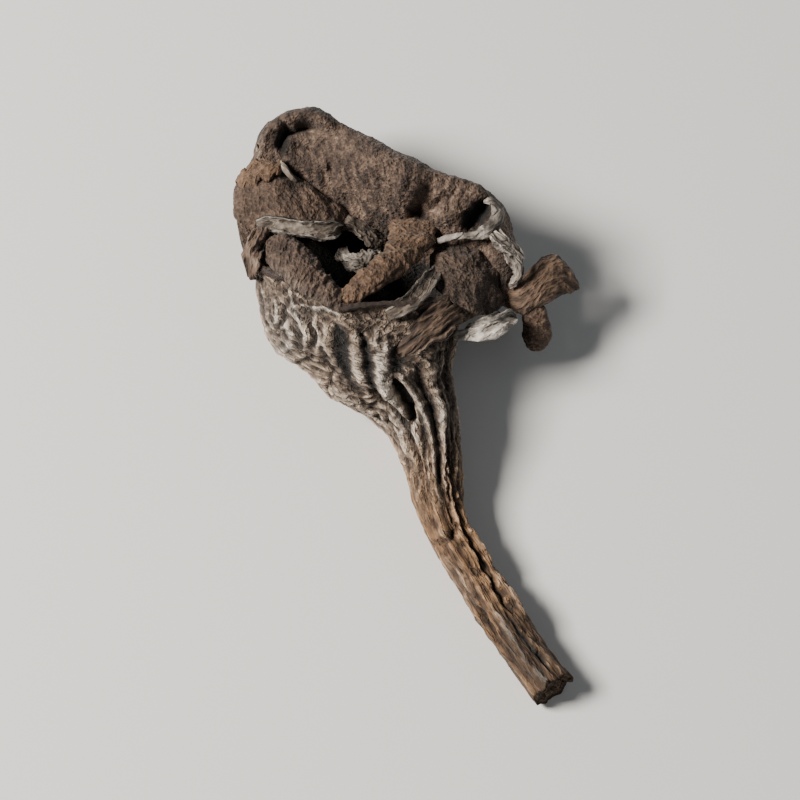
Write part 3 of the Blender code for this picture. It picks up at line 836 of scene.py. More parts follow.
# Patches, by the value that they raise: pale ones lighten the flesh, and darkening ones are mostly painted
# shade, with the darker foot end
WASHES = {
    "pale": (
        # Paler patches on the body's flank and ridges: partly the flesh's pale bloom, partly painted light
        # where the key light falls
        Wash((-13.0, 9.5), (2.8, 4.6), 0.3),
        Wash((-2.5, 4.4), (1.8, 4.4), 0.25),
        Wash((-9.5, 10.5), (3.2, 0.45), 0.35),
        Wash((0.3, -1.9), (2.6, 1.8), 0.25),
        Wash((3.5, -1.3), (1.8, 1.4), 0.25),
        Wash((-5.6, 4.2), (1.4, 2.4), 0.2),
    ),
    "painted_shade_and_dark": (
        # Painted shade: the left flank in shadow, a deep valley, and the right side turned from the light
        Wash((-17.0, 9.0), (1.4, 5.5), 0.4),
        Wash((3.4, 4.2), (2.6, 5.0), 0.22),
        Wash((6.4, 1.0), (1.4, 6.0), 0.3),
        Wash((-7.0, 6.0), (1.2, 3.6), 0.25),
        # Darker patches down the stem's foot
        Wash((11.6, -24.6), (2.0, 4.0), 0.5),
        Wash((14.8, -27.6), (3.4, 4.0), 0.7),
        Wash((18.0, -32.5), (3.2, 2.4), 0.8),
        # Painted shade deep in the hollows, below the given heights, under the rolled rim and in the ear's
        # hole
        Wash((-6.6, 15.8), (5.2, 3.2), 2.0, Side.INSIDE, 10.5),
        Wash((-3.4, 17.9), (2.8, 2.2), 1.6, Side.INSIDE, 10.5),
        Wash((-0.2, 13.8), (3.0, 2.4), 2.0, Side.INSIDE, 10.5),
        Wash((3.2, 14.6), (2.2, 1.4), 1.4, Side.INSIDE, 10.5),
        Wash((-13.6, 29.6), (1.0, 1.4), 0.7, Side.INSIDE),
        Wash((-12.6, 29.4), (4.6, 3.4), 0.28, Side.INSIDE),
        Wash((11.0, 14.5), (2.0, 2.4), 0.6, Side.INSIDE),
    ),
}


@dataclass(frozen=True)
class Layer:
    """Random relief of one kind: its cells a millimetre, its finer layers and its height."""

    seed: int
    scale: float
    octaves: int
    fall: float
    height: float

    def heights(self, points: np.ndarray) -> np.ndarray:
        """The relief at the points, in millimetres."""
        return self.height * Grain(self.seed).rough(points * self.scale, self.octaves, self.fall)


@dataclass
class Skin:
    """The funnel: the ribbed stem, the wrinkled wall and the rolled velvet cap, in one skin.

    Places along are shares of the way from foot to margin, and turns are shares of the way round.
    A pair of them says where something starts and where it is full. The pleats are each a count, a
    twist and a share; they sway and lean so far and so often. The dents are each a place, a size
    and a depth. The growth's radius is that at the foot and what it widens by, and it rises by the
    millimetre, more steeply past a bend.
    """

    wall: float = 0.8
    edge_thinned: float = 0.25
    edge_starts: float = 0.93
    points_around: int = 340
    outer_rings: int = 202
    inner_rings: int = 78
    ring_places: tuple[Pair, ...] = ((0.0, 0.0), (0.27, 0.42), (0.80, 0.84), (1.0, 1.0))
    hollow_starts: float = 0.62
    inner_share: float = 0.5
    length: float = 74.0
    pleats: tuple[Triple, ...] = ((9, 0.7, 1.0), (14, -0.8, 0.55))
    pleat_sway: Pair = (0.9, 5.0)
    pleat_lean: Pair = (0.3, 9.0)
    pleat_depth: tuple[Pair, ...] = (
        (0.0, 0.08), (0.30, 0.12), (0.45, 0.3), (0.65, 0.4), (0.8, 0.3), (1.0, 0.25)
    )
    dents: tuple[tuple[Pair, Pair, float], ...] = (
        ((0.23, 0.49), (0.018, 0.030), 1.1),
        ((0.29, 0.60), (0.022, 0.055), 0.9),
        ((0.15, 0.52), (0.024, 0.060), 0.8),
        ((0.22, 0.27), (0.16, 0.012), 0.4),
        ((0.67, 0.93), (0.05, 0.020), -1.0),
        ((0.555, 1.0), (0.030, 0.07), -2.2),
        ((0.515, 1.0), (0.02, 0.05), -0.9),
        ((0.405, 0.80), (0.05, 0.065), -1.9),
    )
    wrinkles: tuple[Wrinkles, ...] = WRINKLES
    crumple: Layer = Layer(71, 0.8, 2, 0.5, 0.16)
    down: tuple[Layer, ...] = (Layer(81, 0.45, 2, 0.5, 0.12), Layer(83, 1.25, 3, 0.6, 0.14))
    wobble: float = 0.3
    shown: Pair = (-0.1, 0.1)
    drawn_on: Pair = (0.0, 0.25)
    stem_fades: Pair = (0.36, 0.60)
    stem_calmed: float = 0.45
    stem_lifted: float = 0.10
    velvet_starts: float = 0.985
    # where the painted shade deep in the hollow fades from full to none
    dark_fades: Pair = (0.72, 0.86)
    foot_rings: int = 9
    foot_places: Pair = (0.10, 0.94)
    foot_sunk: float = 1.0
    foot_torn: Layer = Layer(61, 1.15, 3, 0.4, 0.6)
    torn_rings: int = 16
    foot_grain: Layer = Layer(63, 2.2, 3, 0.6, 0.45)
    foot_drift: float = 5.0 / 2.2
    foot_crest: Pair = (2.0, 0.25)
    foot_warm: float = 0.4
    # how much darker the broken end is at its middle and at its rim
    foot_darkening: Pair = (0.4, 0.1)
    growth_radius: Pair = (3.0, 10.0)
    growth_widens: Pair = (0.35, 0.95)
    growth_relief: float = 1.2
    growth_rise: Triple = (0.18, 0.22, 30.0)
    crest_reaches: Pair = (0.4, 1.5)
    crest_sizes: Pair = (0.17, 1.4)
    crest_level: float = -0.05
    crest_lowest: float = -0.65

    WOBBLE_SEED = 91
    WOBBLE_SCALE = 0.9
    WOBBLE_STEP = 40.0
    HEADING_RING = 6  # the stem heads from its first ring to this one
    TEAR_FADE = 1.5
    INSIDE_AWAY = 100.0  # keeps the mottling of the faces apart
    FOOT_AWAY = 500.0

    def _control(self) -> np.ndarray:
        """Every ring that the skin runs through.

        Returns:
            The rings from the foot to the margin, with a point for each way round the mouth.
        """
        angles = np.radians([way[0] for way in MOUTH])[:, None]
        rings = []
        for index, (middle, half_width, half_height, lead) in enumerate(BODY_RINGS):
            before = BODY_RINGS[max(index - 1, 0)][0]
            after = BODY_RINGS[min(index + 1, len(BODY_RINGS) - 1)][0]
            heading = math.atan2(after[1] - before[1], after[0] - before[0])
            sideways = half_width * np.array([math.sin(heading), -math.cos(heading), 0.0])
            lift = np.array([0.0, -lead / 2, half_height])
            rings.append(np.array(middle) + sideways * np.cos(angles) + lift * np.sin(angles))
        rings += [np.array([way[column] for way in MOUTH]) for column in (1, 2, 3)]
        roll, drop = np.array([way[4:] for way in MOUTH]).T[..., None]
        outward = unit((rings[-1] - MOUTH_MIDDLE) * np.array([1.0, 1.0, 0.0]))
        return np.array([*rings, rings[-1] + outward * roll - drop * np.array([0.0, 0.0, 1.0])])

    def _plain(self, along: np.ndarray) -> np.ndarray:
        """Works out the outside before any relief.

        Args:
            along: The place of each ring.

        Returns:
            A ring of points for each place.
        """
        control = self._control()
        steps = np.linalg.norm(np.diff(control, axis=0), axis=2)
        steps = (steps + steps.mean(axis=1, keepdims=True)) / 2
        ways = []
        for way in range(len(MOUTH)):
            knots = np.concatenate([[0.0], np.cumsum(steps[:, way])])
            ways.append(smooth_through(control[:, way], knots, along * knots[-1]))
        return np.array([smooth_round(ring, self.points_around) for ring in np.swapaxes(ways, 0, 1)])

    def _pleat_heights(self, turn: np.ndarray, along: np.ndarray) -> np.ndarray:
        """Works out the main pleats and dents, as the solid has them.

        Args:
            turn: The turn of each point.
            along: The place of each ring.

        Returns:
            Their heights in millimetres.
        """
        heights = np.zeros(np.broadcast_shapes(turn.shape, along.shape))
        sway, bend = self.pleat_sway
        lean, curl = self.pleat_lean
        for count, twist, share in self.pleats:
            drift = sway * np.sin(4 * math.pi * turn + bend * along + count)
            phase = 2 * math.pi * (count * turn + twist * along) + drift
            heights += share * (np.cos(phase) + lean * np.sin(2 * phase + curl * along))
        heights *= np.interp(along, *zip(*self.pleat_depth))
        for (turn_at, along_at), (turn_size, along_size), depth in self.dents:
            aside = (turn - turn_at + 0.5) % 1.0 - 0.5
            heights -= depth * np.exp(-((aside / turn_size) ** 2) - ((along - along_at) / along_size) ** 2)
        return heights

    def _drawn(
        self, strokes: tuple[Stroke, ...], rings: np.ndarray, facing: np.ndarray
    ) -> tuple[np.ndarray, np.ndarray]:
        """Adds up the strokes that were drawn on one face.

        Args:
            strokes: The strokes.
            rings: The face's points.
            facing: How squarely each point faces the front.

        Returns:
            Heights in millimetres and tints, both zero where the face is turned away.
        """
        sway = Grain(self.WOBBLE_SEED).sway(rings * self.WOBBLE_SCALE, self.WOBBLE_STEP, 2)
        flat = FRONT.flat(rings) + self.wobble * sway
        shown = ease(facing, *self.drawn_on)
        heights, tints = np.zeros(facing.shape), np.zeros(facing.shape)
        for stroke in strokes:
            share = shown * stroke.profile(flat)
            heights += stroke.height * share
            tints += stroke.tint * share
        return heights, tints

    def shape(self) -> FleshMesh:
        """Works out the closed skin: foot, outside, round the margin, and down the hollow.

        Returns:
            The skin's rings with their values.
        """
        along = np.interp(np.linspace(0.0, 1.0, self.outer_rings), *zip(*self.ring_places))
        plain = self._plain(along)
        turn = (np.arange(self.points_around) / self.points_around)[None]
        share = along[:, None]
        inside = self._inside(plain, turn, share)
        forms, _ = self._drawn(CAP_FORMS, plain, -(surface_normals(plain) @ FRONT.back()))
        outside = self._outside(plain + FRONT.back() * forms[..., None], turn, share)
        foot = self._foot(outside)
        return FleshMesh.join([foot, outside, inside])

    def _outside(self, plain: np.ndarray, turn: np.ndarray, share: np.ndarray) -> FleshMesh:
        """Works out the wrinkled outer face.

        Args:
            plain: Its points before any relief.
            turn: The turn of each point.
            share: The place of each ring.

        Returns:
            The face, from the foot to the margin.
        """
        normals = surface_normals(plain)
        facing = normals @ FRONT.back()
        run = share * self.length
        wrinkled = sum(family.heights(turn, share, run) for family in self.wrinkles)
        wrinkled *= 1 - CALM.strength(FRONT.flat(plain), plain[..., 2]) * ease(facing, *self.shown)
        drawn, tints = self._drawn(FUNNEL_STROKES, plain, facing)
        relief = self._pleat_heights(turn, share) + wrinkled + self.crumple.heights(plain) + drawn
        rings = plain + normals * relief[..., None]
        rings[..., 2] = np.maximum(rings[..., 2], 0.0)
        warm = 1 - ease(share, *self.stem_fades)
        crest = self._crest(relief, plain) * (1 - self.stem_calmed * warm) + self.stem_lifted * warm
        values = {"crest": crest, "velvet": ease(share, self.velvet_starts, 1.0), "warm": warm}
        values |= self._washed(Side.OUTSIDE, plain, facing, tints)
        return FleshMesh(rings, values, self._growth(turn, run, relief))

    def _inside(self, plain: np.ndarray, turn: np.ndarray, share: np.ndarray) -> FleshMesh:
        """Works out the velvet inner face.

        Args:
            plain: The outer face's points before any relief.
            turn: The turn of each point.
            share: The place of each ring.

        Returns:
            The face, from the margin down the hollow.
        """
        normals = surface_normals(plain)
        facing = -(normals @ FRONT.back())
        down = sum(layer.heights(plain) for layer in self.down)
        depth = self.wall * (1 - self.edge_thinned * ease(share, self.edge_starts, 1.0))
        relief = down - self._pleat_heights(turn, share) * self.inner_share
        rings = plain - normals * (relief + depth)[..., None]
        forms, tints = self._drawn(CAP_FORMS, rings, facing)
        rings += FRONT.back() * forms[..., None]
        rings[..., 2] = np.maximum(rings[..., 2], self.wall)
        values = {"crest": -self._crest(relief, plain), "velvet": 1.0, "warm": 0.0}
        values |= self._washed(Side.INSIDE, plain, facing, tints)
        # Deeper in the hollow the velvet darkens to black: painted shade
        values["painted_shade_and_dark"] = np.clip(values["painted_shade_and_dark"] + 1 - ease(share, *self.dark_fades), 0, 1)
        first = int(np.searchsorted(share[:, 0], self.hollow_starts))
        below = np.linspace(self.outer_rings - 1, first, self.inner_rings).round().astype(int)
        return FleshMesh(rings, values, rings + self.INSIDE_AWAY).chosen(below)

    def _foot(self, outside: FleshMesh) -> FleshMesh:
        """Tears the foot's edge and works out its broken end, ragged and sunken.

        Args:
            outside: The outer face, whose first rings are torn.

        Returns:
            The broken end, from its middle outwards.
        """
        middle = outside.rings[0].mean(axis=0)
        axis = unit(outside.rings[self.HEADING_RING].mean(axis=0) - middle)
        angle = 2 * math.pi * np.arange(self.points_around) / self.points_around
        around = np.stack([np.cos(angle), np.sin(angle), 0 * angle], axis=-1)
        fade = np.linspace(1, 0, self.torn_rings)[:, None] ** self.TEAR_FADE
        outside.rings[: self.torn_rings] += axis * (fade * self.foot_torn.heights(around))[..., None]
        shares = np.linspace(*self.foot_places, self.foot_rings)[:, None]
        rough = self.foot_grain.heights((around + self.foot_drift) * shares[..., None])
        sunk = self.foot_sunk * (1 - shares**4) + rough * (1 - shares**6)
        rings = middle + (outside.rings[0] - middle) * shares[..., None] + axis * sunk[..., None]
        rings[..., 2] = np.maximum(rings[..., 2], 0.0)
        slope, level = self.foot_crest
        crest = np.clip(slope * rough + level, -1, 1)
        painted_shade_and_dark = np.interp(shares, (0.0, 1.0), self.foot_darkening)
        values = {"crest": crest, "velvet": 0.0, "warm": self.foot_warm, "pale": 0.0, "painted_shade_and_dark": painted_shade_and_dark}
        return FleshMesh(rings, values, rings + self.FOOT_AWAY)

    def _growth(self, turn: np.ndarray, run: np.ndarray, relief: np.ndarray) -> np.ndarray:
        """Finds where each point lies in the growth of the flesh, which mottling runs along.

        Args:
            turn: The turn of each point.
            run: How many millimetres each ring is from the foot.
            relief: How far each point stands out.

        Returns:
            The places, drawn out along the stem more than along the cap.
        """
        angle = 2 * math.pi * turn
        narrow, wider = self.growth_radius
        rise, steeper, bend = self.growth_rise
        radius = narrow + wider * ease(run / self.length, *self.growth_widens) + self.growth_relief * relief
        risen = rise * run + steeper * np.maximum(run - bend, 0.0)
        return np.stack(np.broadcast_arrays(np.cos(angle) * radius, np.sin(angle) * radius, risen), axis=-1)

    def _crest(self, relief: np.ndarray, plain: np.ndarray) -> np.ndarray:
        """Finds how far each point stands out from the flesh round it.

        Args:
            relief: The face's relief.
            plain: Its points before any relief.

        Returns:
            A value for each point, below zero in grooves and up to 1 on crests.
        """
        pairs = zip(self.crest_reaches, self.crest_sizes)
        fine, broad = ((relief - smooth_out(relief, plain, reach)) / size for reach, size in pairs)
        return np.clip(fine + broad + self.crest_level, self.crest_lowest, 1.0)

    def _washed(
        self, side: Side, plain: np.ndarray, facing: np.ndarray, tints: np.ndarray
    ) -> dict[str, np.ndarray]:
        """Works out the pale patches, partly pale bloom and partly painted light, and the darkened ones,
        mostly painted shade, of one face.

        Args:
            side: Which face it is.
            plain: Its points.
            facing: How squarely each point faces the front.
            tints: The tints of its strokes.

        Returns:
            Both amounts for each point, from 0 to 1.
        """
        flat = FRONT.flat(plain)
        shown = ease(facing, *self.shown)
        values = {}
        for key, tinted in (("pale", tints), ("painted_shade_and_dark", -tints)):
            total = sum(wash.strength(flat, plain[..., 2]) for wash in WASHES[key] if wash.side is side)
            values[key] = np.clip(shown * total + np.maximum(tinted, 0.0), 0.0, 1.0)
        return values


@dataclass
class Lobe:
    """A loose lobe of the margin: a thin sheet with rolled, torn edges, grown from the skin.

    Each station is one cross-section as it is seen from the front: the place of its middle and the
    way from there to its edge, each to the right, up and in height, and how far its middle arches.
    The pale amounts and the darkening, mostly painted shade under and between the folds, are for its first
    edge, its middle and its last edge.
    """

    name: str
    stations: tuple[tuple[float, ...], ...]
    roll_first: float = 0.0
    roll_last: float = 0.0
    rolled_share: float = 0.55
    thickness: float = 0.5
    relief: float = 0.10
    striated: float = 0.0
    grain_size: float = 1.6
    stretch: float = 1.5
    torn: float = 0.10
    velvet: float = 1.0
    warm: float = 0.0
    lift: float = 0.0
    pale: Triple = (0.0, 0.0, 0.0)
    painted_shade_and_dark: Triple = (0.0, 0.0, 0.0)
    under_pale: float = 0.6
    seed: int = 0
    rows: int = 110
    columns: int = 52

    END_ROUND = 14
    SIDE_ROUND = 8
    THINNEST = 0.12
    CREST = (0.25, 0.35)  # how closely the crests follow the folds, and striations beyond that
    DRAWN = (0.3, 0.7)  # how close the mottling stands along the lobe, and on velvet beyond that
    DEEP = (9.0, 1.2)  # how far apart the seeds' mottling lies, and how deep the folds cut into it
    SEEDS = (200, 300)  # for the folds and for the tears
    FOLD_STEP = 7.0
    FOLD_FALL = 0.6
    STRIATION_SCALE = 0.9
    STRIATION_SHIFT = 8.0
    TEAR_SCALE = 0.6
    TEAR_FALL = 0.65
    TEAR_PLACES = (3.5, 9.5)
    PATCH_PLACES = (-1.0, -0.5, 0.5, 1.0)
    UNDER_AWAY = 40.0

    def shape(self) -> FleshMesh:
        """Works out the lobe's closed skin.

        Returns:
            The lobe's rings with their values.
        """
        given = np.array(self.stations)
        knots = np.arange(float(len(given)))
        lines = np.hstack([FRONT.solid(given[:, :3]), FRONT.solid(given[:, 3:6]), given[:, 6:]])
        lines = smooth_through(lines, knots, np.linspace(0, knots[-1], self.rows))
        middles, edges, bows = np.split(lines, (3, 6), axis=1)
        run = np.concatenate([[0], np.cumsum(np.linalg.norm(np.diff(middles, axis=0), axis=1))])[:, None]
        across = np.linspace(-1, 1, self.columns)
        sheet, facing = self._sheet(middles, edges, bows[:, 0], run[:, 0], across)
        wide = across[None] * np.linalg.norm(edges, axis=1)[:, None]
        folds = self._folds(run, wide)
        sheet = sheet + facing * (self.relief * folds)[..., None]
        ends = np.sqrt(np.clip(1 - np.linspace(-1, 1, self.rows) ** self.END_ROUND, 0, 1))[:, None]
        sides = np.sqrt(np.clip(1 - across**self.SIDE_ROUND, 0, 1))[None]
        swell = facing * (self.thickness / 2 * np.clip(ends * sides, self.THINNEST, 1))[..., None]
        rings = self._two_faced(sheet + swell, sheet - swell)
        rings[..., 2] = np.maximum(rings[..., 2], 0.0)
        crest = np.clip((self.CREST[0] + self.CREST[1] * self.striated) * folds + self.lift, -1, 1)
        drawn = self.DRAWN[0] + self.DRAWN[1] * self.velvet * (1 - self.striated)
        deep = self.DEEP[0] * self.seed + self.DEEP[1] * self.relief * folds
        growth = np.stack(np.broadcast_arrays(wide, deep, run * drawn), axis=-1)
        level = 0 * folds
        values = {
            "crest": self._two_faced(crest, -crest),
            "velvet": self._two_faced(level + self.velvet, level),
            "warm": self._two_faced(level + self.warm, level),
            "pale": self._two_faced(level + self._spread(self.pale, across), level + self.under_pale),
            "painted_shade_and_dark": self._two_faced(level + self._spread(self.painted_shade_and_dark, across), level),
        }
        return FleshMesh(rings, values, self._two_faced(growth, growth + self.UNDER_AWAY))

    def _folds(self, run: np.ndarray, wide: np.ndarray) -> np.ndarray:
        """Works out the sheet's small folds: soft dimples, or striations that run along it.

        Args:
            run: How far along each row lies.
            wide: How far from the middle each point lies.

        Returns:
            Their heights, from about -1 to 1.
        """
        parts = (run / self.stretch, wide, self.FOLD_STEP * self.seed)
        place = np.stack(np.broadcast_arrays(*parts), axis=-1) / self.grain_size
        grain = Grain(self.SEEDS[0] + self.seed)
        sharp = grain.ridged(place * self.STRIATION_SCALE + self.STRIATION_SHIFT, 3)
        return self.striated * sharp + (1 - self.striated) * grain.rough(place, 4, self.FOLD_FALL)

    def _sheet(
        self, middles: np.ndarray, edges: np.ndarray, bows: np.ndarray, run: np.ndarray, across: np.ndarray
    ) -> tuple[np.ndarray, np.ndarray]:
        """Bends each cross-section: bowed in the middle, rolled at its edges.

        Args:
            middles: The middle line.
            edges: The way from each middle to its edge.
            bows: How far each middle arches.
            run: How far along each middle lies.
            across: The share of the way from the middle to the edges.

        Returns:
            The sheet's points and its normals.
        """
        lift = np.cross(edges, np.gradient(middles, axis=0))
        lift = unit(lift * np.sign(lift[:, 2:]))
        aside = unit(edges)
        half = np.linalg.norm(edges, axis=1)
        grain = Grain(self.SEEDS[1] + self.seed)
        spots = [np.stack([run * self.TEAR_SCALE, 0 * run + s, 0 * run], axis=-1) for s in self.TEAR_PLACES]
        first, last = (grain.rough(spot, 4, self.TEAR_FALL)[:, None] for spot in spots)
        spread = (half[:, None] * (1.0 + self.torn * np.where(across < 0, first, last)))[..., None]
        flat_share = 1 - self.rolled_share
        lean = -np.arctan2(2 * bows, half)[:, None] * across
        lean = lean - self.roll_last * np.clip((across - flat_share) / self.rolled_share, 0, 1)
        lean = lean + self.roll_first * np.clip((-across - flat_share) / self.rolled_share, 0, 1)
        step = 2.0 / (len(across) - 1)
        go, rise = np.cumsum(np.cos(lean), axis=1) * step, np.cumsum(np.sin(lean), axis=1) * step
        centre = slice(len(across) // 2, len(across) // 2 + 1)
        go, rise = go - go[:, centre], rise - rise[:, centre]
        widest = np.where(across < 0, -go.min(axis=1, keepdims=True), go.max(axis=1, keepdims=True))
        go, rise = (go / widest)[..., None], (rise / widest)[..., None]
        sheet = middles[:, None] + aside[:, None] * spread * go
        sheet = sheet + lift[:, None] * (spread * rise + bows[:, None, None])
        facing = lift[:, None] * np.cos(lean)[..., None] - aside[:, None] * np.sin(lean)[..., None]
        return sheet, facing

    def _spread(self, amounts: Triple, across: np.ndarray) -> np.ndarray:
        """An amount across the sheet, from its first edge over its middle to its last edge."""
        first, middle, last = amounts
        return np.interp(across, self.PATCH_PLACES, (first, middle, middle, last))

    @staticmethod
    def _two_faced(top: np.ndarray, under: np.ndarray) -> np.ndarray:
        """Puts the values of the top and the underside into rings."""
        return np.concatenate([top, under[:, ::-1]], axis=1)


